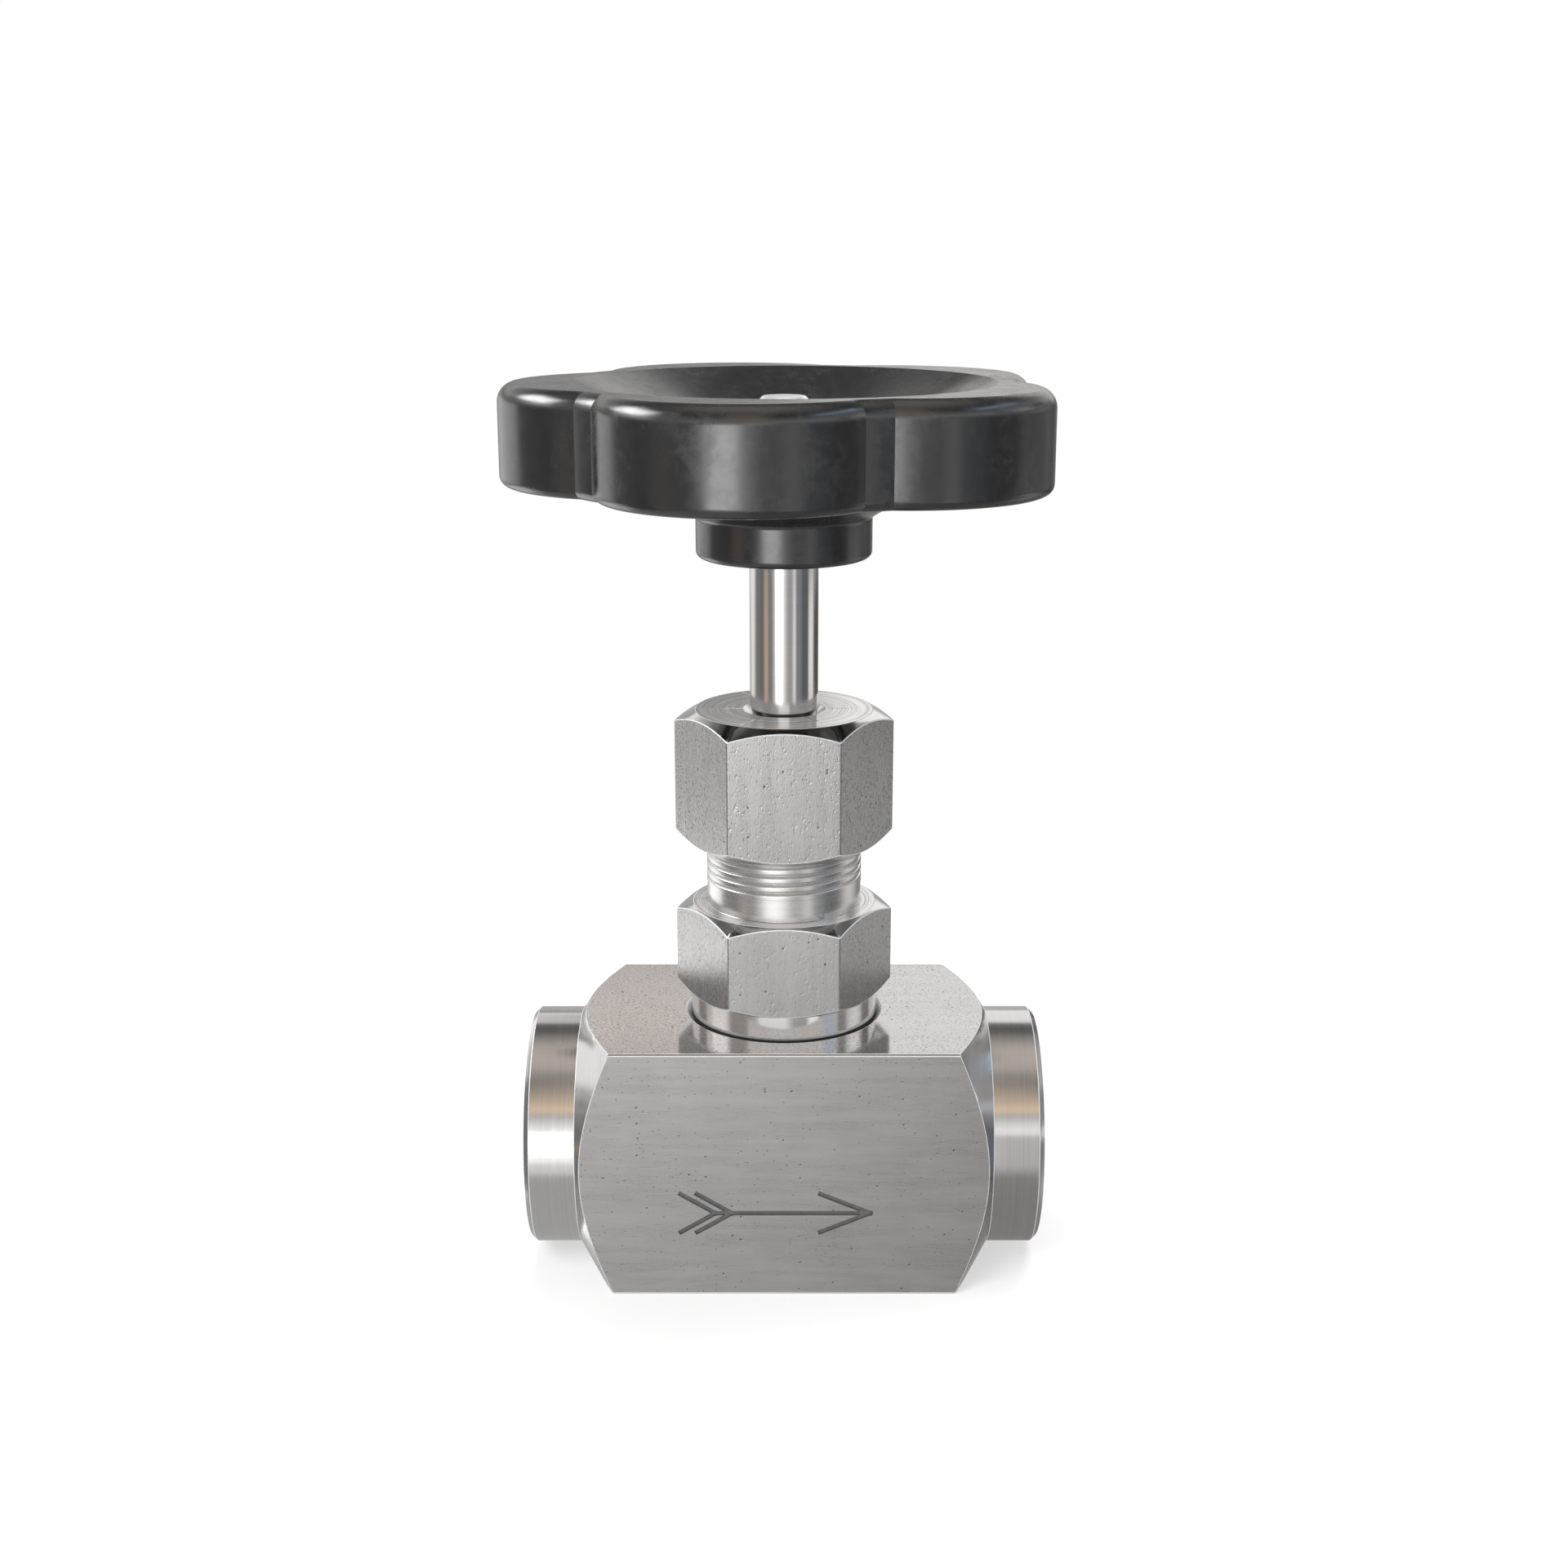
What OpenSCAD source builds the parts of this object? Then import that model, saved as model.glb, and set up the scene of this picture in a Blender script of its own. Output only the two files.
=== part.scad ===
// Needle valve with two threaded pipe ports, a packed rising spindle and a lobed handwheel.
// X runs along the pipe in the direction of flow, Z runs up the spindle.
// The origin is the middle of the body's flat underside. The valve stands fully open.

/* [Body] */
// Side of the square bar
body_side = 38.2; // [37:0.1:44]
// Length over both pipe bosses
body_length = 76.6; // [74:0.1:90]
// Length of the bar's long edges between the turned shoulders
bar_length = 50.6; // [46:0.1:52]
// Slope of the turned shoulders, measured from the end plane
shoulder_angle = 31; // [25:1:36]
// Diameter of the turned pipe bosses
boss_d = 35.8; // [32:0.1:36.5]
// Chamfer on the end of each boss
boss_chamfer = 0.8; // [0.3:0.1:1.5]
// Chamfer along the bar's long edges
edge_break = 0.3; // [0.1:0.05:0.6]

/* [Pipe ports] */
// Major diameter of the pipe thread
port_thread_d = 20.955; // [18:0.005:23]
// Pitch of the pipe thread
port_pitch = 1.814; // [1:0.001:2.4]
// Depth of each port
port_depth = 16; // [12:0.1:18]
// Diameter of the drilled flow passages
passage_d = 7; // [5:0.1:7.5]

/* [Seat] */
// Diameter of the orifice that the needle closes
seat_d = 8; // [6:0.1:9]
// Depth of the seat below the pipe axis
seat_drop = 4.1; // [3.9:0.1:5]
// Depth of the orifice below the seat
orifice_depth = 10; // [9.7:0.1:11]
// Diameter of the chamber above the seat
chamber_d = 16; // [14:0.1:18]

/* [Bonnet] */
// Diameter of the round collar between body and hexagon
collar_d = 27.9; // [26:0.1:27.9]
// Height of the collar above the body
collar_height = 3.5; // [2:0.1:6]
// Depth that the collar sinks into the body
collar_depth = 3; // [2:0.1:4]
// Diameter of the screwed spigot in the body
spigot_d = 22; // [19:0.1:23]
// Length of the screwed spigot
spigot_length = 10; // [8:0.1:10.4]
// Width across the flats of the bonnet hexagon
bonnet_af = 28; // [28:0.1:32]
// Height of the bonnet hexagon
bonnet_hex_height = 13.8; // [12:0.1:18]
// Diameter of the flat face on top of the bonnet hexagon
bonnet_face_d = 27.2; // [25:0.1:27.8]
// Diameter of the plain shank above the hexagon
shank_d = 22.9; // [22:0.1:24]
// Height of the plain shank
shank_height = 3.4; // [2:0.1:6]
// Thickness of the sealing ring under the collar
gasket_thickness = 1.5; // [1:0.1:2]

/* [Gland nut] */
// Major diameter of the gland thread
gland_thread_d = 23.05; // [22:0.05:24]
// Pitch of the gland thread
gland_pitch = 1.3; // [1:0.05:1.6]
// Height of thread left showing under the nut
thread_shown = 5.8; // [4:0.1:8]
// Width across the flats of the gland nut
nut_af = 28; // [28:0.1:32]
// Height of the gland nut
nut_height = 20.15; // [18:0.05:24]
// Diameter of the flat faces at the ends of the nut
nut_face_d = 26.1; // [25:0.1:27.8]
// Thickness of the nut's top wall
nut_top_wall = 5.85; // [4:0.05:7]
// Chamfer around the nut's spindle hole
nut_hole_chamfer = 0.95; // [0.4:0.05:1.5]
// Thickness of the slip washer under the top wall
slip_washer_thickness = 1; // [0.6:0.1:1.5]
// Diameter of the follower's flange
follower_flange_d = 20; // [18:0.1:21]
// Thickness of the follower's flange
follower_flange = 3; // [2:0.1:4]
// Room left between the flange and the bonnet for tightening
follower_gap = 0.9; // [0.4:0.1:0.9]
// Length of the follower's nose inside the bonnet
follower_nose = 4; // [3:0.1:5]

/* [Packing] */
// Diameter of the packing chamber
packing_d = 16; // [15:0.1:17]
// Height of one packing ring at its edges
packing_ring_height = 2.2; // [1.6:0.1:2.6]
// Height of the roof shape on every packing ring
packing_roof = 1; // [0.5:0.1:1.4]
// Edge height of the lower adapter ring
lower_adapter_height = 2; // [1.5:0.1:3]
// Edge height of the upper adapter ring
upper_adapter_height = 3; // [2:0.1:3.5]
// Length of the plain spindle guide under the packing
guide_length = 4; // [3:0.1:5]

/* [Spindle] */
// Diameter of the polished spindle
stem_d = 10; // [9:0.1:11]
// Length of spindle showing between the nut and the handwheel hub
stem_shown = 22.45; // [20:0.05:30]
// Major diameter of the spindle thread
spindle_thread_d = 12; // [11.5:0.1:13]
// Pitch of the spindle thread
spindle_pitch = 1.5; // [1:0.05:1.6]
// Turns of the handwheel from open to closed
spindle_turns = 6; // [4:0.5:6]
// Diameter of the neck that holds the needle
neck_d = 9.5; // [9:0.1:10]
// Length of the neck
neck_length = 11; // [10.8:0.1:12]
// Width across the flats of the square end
square_af = 7; // [5.8:0.1:7]
// Depth that the round spindle enters the handwheel
stem_socket = 2; // [1:0.1:4]

/* [Needle] */
// Diameter of the needle's head
needle_head_d = 9.5; // [9:0.1:10]
// Height of the needle's head
needle_head = 4; // [3:0.1:5]
// Half angle of the needle's cone
needle_angle = 20; // [19:0.5:28]
// Diameter of the needle's blunt tip
needle_tip_d = 1.6; // [1:0.1:2]
// Diameter of the shank held in the spindle
needle_shank_d = 5; // [4.5:0.1:5.4]
// Length of the shank held in the spindle
needle_shank = 6; // [5.6:0.1:6.2]
// Diameter of the ball that takes the thrust
ball_d = 4; // [3.5:0.1:4.3]
// Diameter of the two pins that hold the needle
pin_d = 1.5; // [1.2:0.1:1.8]
// Length of the pins
pin_length = 7; // [5:0.1:7]

/* [Handwheel] */
// Number of lobes
lobe_count = 5; // [5:1:6]
// Radius of each lobe
lobe_r = 22; // [20:0.1:24]
// Distance of the lobe centres from the spindle
lobe_centre_r = 18.35; // [17:0.1:20]
// Angle of the lobe at the front, from the X axis
lobe_angle = -105.3; // [-180:0.1:180]
// Radius of the hollows between the lobes
hollow_r = 5; // [3:0.1:8]
// Height of the rim
wheel_height = 14.3; // [13:0.1:18]
// Rounding of the rim's upper edge
rim_top_round = 3.3; // [2:0.1:3.6]
// Rounding of the rim's lower edge
rim_bottom_round = 1.5; // [0.8:0.1:2]
// Diameter of the dish in the top
dish_d = 60.4; // [54:0.1:62]
// Depth of the dish
dish_depth = 7.8; // [6:0.1:8.4]
// Diameter of the flat floor of the dish
dish_floor_d = 22; // [20:0.1:28]
// Diameter of the hub
hub_d = 25.4; // [22:0.1:28]
// Height of the hub below the rim
hub_height = 10.6; // [8:0.1:14]
// Rounding of the hub's lower edge
hub_round = 1; // [0.5:0.1:2]
// Height of the hub's straight wall
hub_wall = 6; // [4:0.1:7]
// Slope of the web's underside
web_angle = 31; // [25:1:34]
// Outer diameter of the groove in the underside
rim_inner_d = 56; // [54:0.1:58]
// Width of the groove in the underside
groove_width = 5.5; // [3:0.1:6]
// Depth of the groove in the underside
groove_depth = 3.5; // [2:0.1:5]
// Diameter of the metal insert in the hub
insert_d = 16; // [14:0.1:18]

/* [Wheel screw] */
// Thread diameter of the screw
screw_d = 5; // [4:0.1:5]
// Length of the screw's shank
screw_length = 14; // [10:0.1:16]
// Width across the flats of the screw's head
screw_af = 8; // [7:0.1:9]
// Height of the screw's head
screw_head = 3.5; // [2.8:0.1:4]
// Diameter of the flat on the screw's head
screw_face_d = 6.1; // [5.5:0.1:6.8]
// Outer diameter of the plain washer
washer_d = 10; // [9.5:0.1:12]
// Thickness of the plain washer
washer_thickness = 1; // [0.6:0.1:1.6]
// Outer diameter of the spring washer
spring_washer_d = 9.2; // [8.6:0.1:9.4]
// Thickness of the spring washer
spring_washer_thickness = 1.2; // [0.8:0.1:1.6]
// Width of the split in the spring washer
spring_washer_split = 0.9; // [0.5:0.1:1.5]

/* [Flow arrow] */
// Length of the engraved arrow
arrow_length = 28.4; // [20:0.1:32]
// Height of the engraved arrow
arrow_height = 6.7; // [4:0.1:9]
// Distance of the arrow below the pipe axis
arrow_drop = 5.9; // [4:0.1:9]
// Distance of the arrow's middle before the spindle axis
arrow_shift = 1.25; // [-3:0.05:3]
// Width of the engraved line
arrow_line = 0.6; // [0.3:0.05:1]
// Depth of the engraved line
arrow_depth = 0.25; // [0.1:0.05:0.5]

/* [Clearances] */
// Radial room in a screw thread
thread_clearance = 0.1; // [0.05:0.01:0.15]
// Radial room around the turning spindle
running_clearance = 0.06; // [0.04:0.01:0.1]
// Room between pieces that are fitted together
fit_clearance = 0.04; // [0.02:0.01:0.06]
// Room left where the needle and the back seat would meet
seat_gap = 0.15; // [0.1:0.05:0.3]

/* [Hidden] */
$fn = 96;
// Extra length of every cutting solid past the face that it cuts
cut = 1;
// Slope of the chamfers on hexagons
hex_chamfer_angle = 30;
// Depth of a pipe thread and of a metric thread for a pitch of one
pipe_thread_ratio = 0.640327;
metric_thread_ratio = 0.613;
// Share of the pitch that is flat on the crest of a thread
crest_share = 0.15;

// Heights up the spindle axis
pipe_z = body_side / 2;
seat_z = pipe_z - seat_drop;
collar_bottom = body_side - collar_depth;
gasket_bottom = collar_bottom - gasket_thickness;
spigot_bottom = collar_bottom - spigot_length;
chamber_top = spigot_bottom - cut;
bonnet_hex_bottom = body_side + collar_height;
bonnet_hex_top = bonnet_hex_bottom + bonnet_hex_height;
thread_bottom = bonnet_hex_top + shank_height;
nut_bottom = thread_bottom + thread_shown;
nut_top = nut_bottom + nut_height;
nut_ceiling = nut_top - nut_top_wall;
slip_washer_bottom = nut_ceiling - slip_washer_thickness;
follower_flange_bottom = slip_washer_bottom - follower_flange;
bonnet_top = follower_flange_bottom - follower_gap;
upper_adapter_top = bonnet_top - follower_nose;
ring_edge_top = upper_adapter_top - upper_adapter_height;
ring_edge_bottom = ring_edge_top - 4 * packing_ring_height;
packing_floor = ring_edge_bottom - lower_adapter_height;
guide_bottom = packing_floor - guide_length;
hub_bottom = nut_top + stem_shown;
wheel_bottom = hub_bottom + hub_height;
wheel_top = wheel_bottom + wheel_height;
dish_floor = wheel_top - dish_depth;
square_bottom = hub_bottom + stem_socket;
square_top = dish_floor - 0.6;
washer_top = dish_floor + washer_thickness;
spring_washer_top = washer_top + spring_washer_thickness;

// Spindle and needle, with the valve open
lift = spindle_turns * spindle_pitch;
needle_slope = tan(needle_angle);
cone_top = seat_z + seat_gap + lift + (needle_head_d - seat_d) / 2 / needle_slope;
cone_tip = cone_top - (needle_head_d - needle_tip_d) / 2 / needle_slope;
needle_head_top = cone_top + needle_head;
neck_bottom = needle_head_top + fit_clearance;
neck_top = neck_bottom + neck_length;
shank_top = needle_head_top + needle_shank;
ball_centre = shank_top + fit_clearance + ball_d / 2;
socket_top = ball_centre + ball_d / 2 + fit_clearance;
needle_pin_z = needle_head_top + needle_shank / 2;
needle_groove_d = needle_shank_d - 1;
needle_pin_x = (needle_groove_d + pin_d) / 2 + running_clearance;
stem_hole_d = stem_d + 2 * running_clearance;
spindle_bore_d = spindle_thread_d + 2 * thread_clearance;
back_seat_bottom = guide_bottom - (spindle_bore_d - stem_hole_d) / 2;
spindle_cone_bottom = back_seat_bottom - seat_gap;
spindle_cone_top = spindle_cone_bottom + (spindle_thread_d - stem_d) / 2;

// Arcs of the handwheel's rim
half_pitch = 180 / lobe_count;
hollow_centre_r = lobe_centre_r * cos(half_pitch)
    + sqrt(pow(lobe_r + hollow_r, 2) - pow(lobe_centre_r * sin(half_pitch), 2));
lobe_half_turn = atan2(
    hollow_centre_r * sin(half_pitch),
    hollow_centre_r * cos(half_pitch) - lobe_centre_r
);
hollow_half_turn = lobe_half_turn - half_pitch;
lobe_steps = 16;
hollow_steps = 6;
bottom_round_steps = 3;
top_round_steps = 5;

// Port thread
port_wall_d = port_thread_d - 2 * pipe_thread_ratio * port_pitch;
port_end = body_length / 2 - port_depth;

// Drills a round hole from one point to another
module hole_between(from, to, d) {
    run = to - from;
    translate(from)
        rotate([0, acos(run[2] / norm(run)), atan2(run[1], run[0])])
            cylinder(h = norm(run), d = d);
}

// Hexagon with both ends turned to a chamfer that starts at the end faces
module chamfered_hexagon(af, height, bottom_d, top_d, angle = hex_chamfer_angle) {
    outer_r = af / sqrt(3) + cut;
    intersection() {
        cylinder(h = height, d = af / cos(30), $fn = 6);
        rotate_extrude()
            polygon([
                [0, 0],
                [bottom_d / 2, 0],
                [outer_r, (outer_r - bottom_d / 2) * tan(angle)],
                [outer_r, height - (outer_r - top_d / 2) * tan(angle)],
                [top_d / 2, height],
                [0, height]
            ]);
    }
}

// Solid screw thread, each turn drawn as a ring
module ringed_thread(d, depth, pitch, length) {
    turns = floor(length / pitch);
    crest = crest_share * pitch / 2;
    rotate_extrude()
        polygon([
            [0, 0],
            [d / 2 - depth, 0],
            for (turn = [0:turns - 1], corner = [0:3])
                [
                    d / 2 - (corner == 0 || corner == 3 ? depth : 0),
                    (turn + 0.5) * pitch + (corner < 2 ? -1 : 1) * (corner % 3 == 0 ? pitch / 2 - crest : crest)
                ],
            [d / 2 - depth, length],
            [0, length]
        ]);
}

// Round disc with its hole
module ring(outer_d, inner_d, height) {
    difference() {
        cylinder(h = height, d = outer_d);
        translate([0, 0, -cut])
            cylinder(h = height + 2 * cut, d = inner_d);
    }
}

// Square bar along the pipe with its long edges broken
module square_bar() {
    half = body_side / 2;
    flat = half - edge_break;
    rotate([90, 0, 90])
        linear_extrude(body_length, center = true)
            polygon([
                [-flat, -half], [flat, -half], [half, -flat], [half, flat],
                [flat, half], [-flat, half], [-half, flat], [-half, -flat]
            ]);
}

// Turned envelope of the body: bosses, cone shoulders and end chamfers
module turned_envelope() {
    half = body_length / 2;
    corner_r = body_side / sqrt(2);
    outer_r = corner_r + cut;
    shoulder_outer = bar_length / 2 - cut * tan(shoulder_angle);
    shoulder_inner = bar_length / 2 + (corner_r - boss_d / 2) * tan(shoulder_angle);
    rotate([0, 90, 0])
        rotate_extrude()
            polygon([
                [0, -half],
                [boss_d / 2 - boss_chamfer, -half],
                [boss_d / 2, -half + boss_chamfer],
                [boss_d / 2, -shoulder_inner],
                [outer_r, -shoulder_outer],
                [outer_r, shoulder_outer],
                [boss_d / 2, shoulder_inner],
                [boss_d / 2, half - boss_chamfer],
                [boss_d / 2 - boss_chamfer, half],
                [0, half]
            ]);
}

// Threaded port, cut from its mouth inwards along Z
module port_cutter() {
    mouth_r = port_thread_d / 2 + 0.3;
    wall_r = port_wall_d / 2;
    groove = port_thread_d / 2 - wall_r;
    first = mouth_r - wall_r;
    // The last two turns are left out, as the plain end of the drilled hole
    turns = floor((port_depth - first) / port_pitch) - 2;
    crest = crest_share * port_pitch / 2;
    rotate_extrude()
        polygon([
            [0, -cut],
            [mouth_r, -cut],
            [mouth_r, 0],
            [wall_r, first],
            for (turn = [0:turns - 1], corner = [0:3])
                [
                    wall_r + (corner == 0 || corner == 3 ? 0 : groove),
                    first + (turn + 0.5) * port_pitch
                        + (corner < 2 ? -1 : 1) * (corner % 3 == 0 ? port_pitch / 2 - crest : crest)
                ],
            [wall_r, port_depth],
            [0, port_depth]
        ]);
}

// One engraved line, carried half its width past both points
module engraved_line(from, to) {
    run = to - from;
    translate(from)
        rotate(atan2(run[1], run[0]))
            translate([-arrow_line / 2, -arrow_line / 2])
                square([norm(run) + arrow_line, arrow_line]);
}

// Flow arrow with a feathered tail
module flow_arrow() {
    half_height = arrow_height / 2 - arrow_line / 2;
    tip = arrow_length / 2 - arrow_line / 2;
    head = 7.3;
    feather = 5.1;
    feather_step = 2.4;
    for (side = [-1, 1]) {
        engraved_line([tip, 0], [tip - head, side * half_height]);
        for (row = [0, 1])
            engraved_line(
                [-tip + feather + row * feather_step, 0],
                [-tip + row * feather_step, side * half_height]
            );
    }
    engraved_line([-tip + feather, 0], [tip, 0]);
}

module valve_body() {
    seat_bore_d = spigot_d + 2 * thread_clearance;
    collar_bore_d = collar_d + 2 * fit_clearance;
    mouth_chamfer = 0.8;
    color("silver")
        difference() {
            intersection() {
                translate([0, 0, pipe_z])
                    square_bar();
                translate([0, 0, pipe_z])
                    turned_envelope();
            }
            for (side = [-1, 1])
                translate([side * body_length / 2, 0, pipe_z])
                    rotate([0, -side * 90, 0])
                        port_cutter();
            // Bonnet seat, from the chamfered mouth down to the chamber
            translate([0, 0, body_side])
                rotate_extrude()
                    polygon([
                        [0, cut],
                        [collar_bore_d / 2 + mouth_chamfer + cut, cut],
                        [collar_bore_d / 2, -mouth_chamfer],
                        [0, -mouth_chamfer]
                    ]);
            translate([0, 0, gasket_bottom])
                cylinder(h = body_side - gasket_bottom, d = collar_bore_d);
            translate([0, 0, chamber_top])
                cylinder(h = body_side - chamber_top, d = seat_bore_d);
            translate([0, 0, seat_z])
                cylinder(h = body_side - seat_z, d = chamber_d);
            // Flow path: slanted under the seat, up through the orifice, straight out above it
            translate([0, 0, seat_z - orifice_depth])
                cylinder(h = orifice_depth + cut, d = seat_d);
            hole_between(
                [-port_end - cut, 0, pipe_z - (port_wall_d - passage_d) / 2 + cut],
                [0, 0, seat_z - orifice_depth + passage_d / 2],
                passage_d
            );
            hole_between([0, 0, pipe_z], [port_end + cut, 0, pipe_z], passage_d);
            translate([-arrow_shift, -body_side / 2 + arrow_depth, pipe_z - arrow_drop])
                rotate([90, 0, 0])
                    linear_extrude(arrow_depth + cut)
                        flow_arrow();
        }
}

module bonnet() {
    color("gainsboro")
        difference() {
            union() {
                translate([0, 0, spigot_bottom])
                    cylinder(h = spigot_length + cut, d = spigot_d);
                translate([0, 0, collar_bottom])
                    cylinder(h = collar_depth + collar_height, d = collar_d);
                translate([0, 0, bonnet_hex_bottom])
                    chamfered_hexagon(bonnet_af, bonnet_hex_height, collar_d, bonnet_face_d);
                translate([0, 0, bonnet_hex_top - cut])
                    cylinder(h = shank_height + cut, d = shank_d);
                translate([0, 0, thread_bottom])
                    ringed_thread(
                        gland_thread_d,
                        metric_thread_ratio * gland_pitch,
                        gland_pitch,
                        bonnet_top - thread_bottom
                    );
            }
            // Threaded spindle bore, back seat, guide and packing chamber
            rotate_extrude()
                polygon([
                    [0, spigot_bottom - cut],
                    [spindle_bore_d / 2, spigot_bottom - cut],
                    [spindle_bore_d / 2, back_seat_bottom],
                    [stem_hole_d / 2, guide_bottom],
                    [stem_hole_d / 2, packing_floor],
                    [packing_d / 2, packing_floor],
                    [packing_d / 2, bonnet_top + cut],
                    [0, bonnet_top + cut]
                ]);
        }
}

module bonnet_gasket() {
    color("peru")
        translate([0, 0, gasket_bottom])
            ring(collar_d - 0.4, spigot_d + 2 * thread_clearance + 0.4, gasket_thickness);
}

module gland_nut() {
    thread_bore_d = gland_thread_d + 2 * thread_clearance;
    hole_d = stem_d + 4 * running_clearance;
    color("gainsboro")
        difference() {
            translate([0, 0, nut_bottom])
                chamfered_hexagon(nut_af, nut_height, nut_face_d, nut_face_d);
            translate([0, 0, nut_bottom - cut])
                cylinder(h = nut_ceiling - nut_bottom + cut, d = thread_bore_d);
            translate([0, 0, nut_bottom])
                cylinder(h = nut_height + cut, d = hole_d);
            translate([0, 0, nut_top - nut_hole_chamfer])
                cylinder(
                    h = nut_hole_chamfer + cut,
                    d1 = hole_d,
                    d2 = hole_d + 2 * (nut_hole_chamfer + cut)
                );
        }
}

module gland_slip_washer() {
    color("silver")
        translate([0, 0, slip_washer_bottom])
            ring(follower_flange_d, stem_d + 6 * running_clearance, slip_washer_thickness);
}

module gland_follower() {
    color("darkgoldenrod")
        difference() {
            union() {
                translate([0, 0, upper_adapter_top])
                    cylinder(
                        h = slip_washer_bottom - upper_adapter_top,
                        d = packing_d - 2 * running_clearance
                    );
                translate([0, 0, follower_flange_bottom])
                    cylinder(h = follower_flange, d = follower_flange_d);
            }
            translate([0, 0, upper_adapter_top - cut])
                cylinder(h = slip_washer_bottom - upper_adapter_top + 2 * cut, d = stem_hole_d);
        }
}

// Packing piece: its lower and upper faces are flat or follow the roof of the next ring
module packing_piece(bottom, top, bottom_roof, top_roof) {
    inner_r = stem_hole_d / 2;
    outer_r = packing_d / 2 - fit_clearance;
    middle_r = (inner_r + outer_r) / 2;
    rotate_extrude()
        polygon([
            [inner_r, bottom],
            [middle_r, bottom + bottom_roof],
            [outer_r, bottom],
            [outer_r, top],
            [middle_r, top + top_roof],
            [inner_r, top]
        ]);
}

// One ring of the packing set, counted from the bottom
module packing_ring(place) {
    bottom = ring_edge_bottom + place * packing_ring_height;
    color("ivory")
        packing_piece(bottom + fit_clearance, bottom + packing_ring_height, packing_roof, packing_roof);
}

module packing_lower_adapter() {
    color("silver")
        packing_piece(packing_floor, ring_edge_bottom, 0, packing_roof);
}

module packing_upper_adapter() {
    color("silver")
        packing_piece(ring_edge_top + fit_clearance, upper_adapter_top, packing_roof, 0);
}

module spindle() {
    color("whitesmoke")
        difference() {
            union() {
                translate([0, 0, neck_bottom])
                    cylinder(h = neck_length + cut, d = neck_d);
                translate([0, 0, neck_top])
                    ringed_thread(
                        spindle_thread_d,
                        metric_thread_ratio * spindle_pitch,
                        spindle_pitch,
                        spindle_cone_bottom - neck_top
                    );
                translate([0, 0, spindle_cone_bottom])
                    cylinder(
                        h = spindle_cone_top - spindle_cone_bottom,
                        d1 = spindle_thread_d,
                        d2 = stem_d
                    );
                translate([0, 0, spindle_cone_bottom - cut])
                    cylinder(h = square_bottom - spindle_cone_bottom + cut, d = stem_d);
                translate([-square_af / 2, -square_af / 2, square_bottom - cut])
                    cube([square_af, square_af, square_top - square_bottom + cut]);
            }
            // Socket for the needle's shank and the thrust ball
            translate([0, 0, neck_bottom - cut])
                cylinder(h = socket_top - neck_bottom + cut, d = needle_shank_d + 4 * running_clearance);
            pin_pair(pin_d + 2 * fit_clearance, neck_d + 2 * cut);
            // Tapped hole for the wheel screw
            translate([0, 0, spring_washer_top - screw_length - cut])
                cylinder(h = screw_length + cut, d = screw_d + 2 * fit_clearance);
        }
}

module needle() {
    shank_r = needle_shank_d / 2;
    groove_half = pin_d / 2 + running_clearance;
    color("lightsteelblue")
        rotate_extrude()
            polygon([
                [0, cone_tip],
                [needle_tip_d / 2, cone_tip],
                [needle_head_d / 2, cone_top],
                [needle_head_d / 2, needle_head_top],
                [shank_r, needle_head_top],
                [shank_r, needle_pin_z - groove_half],
                [needle_groove_d / 2, needle_pin_z - groove_half],
                [needle_groove_d / 2, needle_pin_z + groove_half],
                [shank_r, needle_pin_z + groove_half],
                [shank_r, shank_top],
                [0, shank_top]
            ]);
}

// The two pins across the neck, one on each side of the needle's shank
module pin_pair(d, length) {
    for (side = [-1, 1])
        translate([side * needle_pin_x, 0, needle_pin_z])
            rotate([90, 0, 0])
                cylinder(h = length, d = d, center = true);
}

module needle_pins() {
    color("gray")
        pin_pair(pin_d, pin_length);
}

module thrust_ball() {
    color("gray")
        translate([0, 0, ball_centre])
            sphere(d = ball_d);
}

// Points around the rim, drawn in from its widest outline by the given inset
function rim_outline(inset) = [
    for (lobe = [0:lobe_count - 1], step = [0:lobe_steps + hollow_steps - 1])
        let (
            on_lobe = step <= lobe_steps,
            lobe_way = lobe_half_turn * (2 * step / lobe_steps - 1),
            hollow_way = hollow_half_turn * (1 - 2 * (step - lobe_steps) / hollow_steps),
            centre_r = on_lobe ? lobe_centre_r : hollow_centre_r,
            arc_r = on_lobe ? lobe_r - inset : hollow_r + inset,
            centre_way = lobe_angle + (lobe + (on_lobe ? 0 : 0.5)) * 360 / lobe_count,
            arc_way = centre_way + (on_lobe ? lobe_way : 180 + hollow_way)
        )
            [
                centre_r * cos(centre_way) + arc_r * cos(arc_way),
                centre_r * sin(centre_way) + arc_r * sin(arc_way)
            ]
];

// Inset and height of every ring of points, from the rim's lower face up to its top
rim_levels = [
    for (step = [0:bottom_round_steps])
        let (way = step * 90 / bottom_round_steps)
            [rim_bottom_round * (1 - sin(way)), rim_bottom_round * (1 - cos(way))],
    for (step = [0:top_round_steps])
        let (way = step * 90 / top_round_steps)
            [rim_top_round * (1 - cos(way)), wheel_height - rim_top_round * (1 - sin(way))]
];

// Rim with rounded lobes and hollows, standing on its lower face
module lobed_rim() {
    rings = len(rim_levels);
    count = lobe_count * (lobe_steps + hollow_steps);
    polyhedron(
        points = [
            for (level = rim_levels, point = rim_outline(level[0]))
                [point[0], point[1], level[1]]
        ],
        faces = [
            [for (place = [0:count - 1]) place],
            [for (place = [1:count]) rings * count - place],
            for (ring = [0:rings - 2], place = [0:count - 1])
                [
                    ring * count + place,
                    (ring + 1) * count + place,
                    (ring + 1) * count + (place + 1) % count,
                    ring * count + (place + 1) % count
                ]
        ]
    );
}

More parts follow.
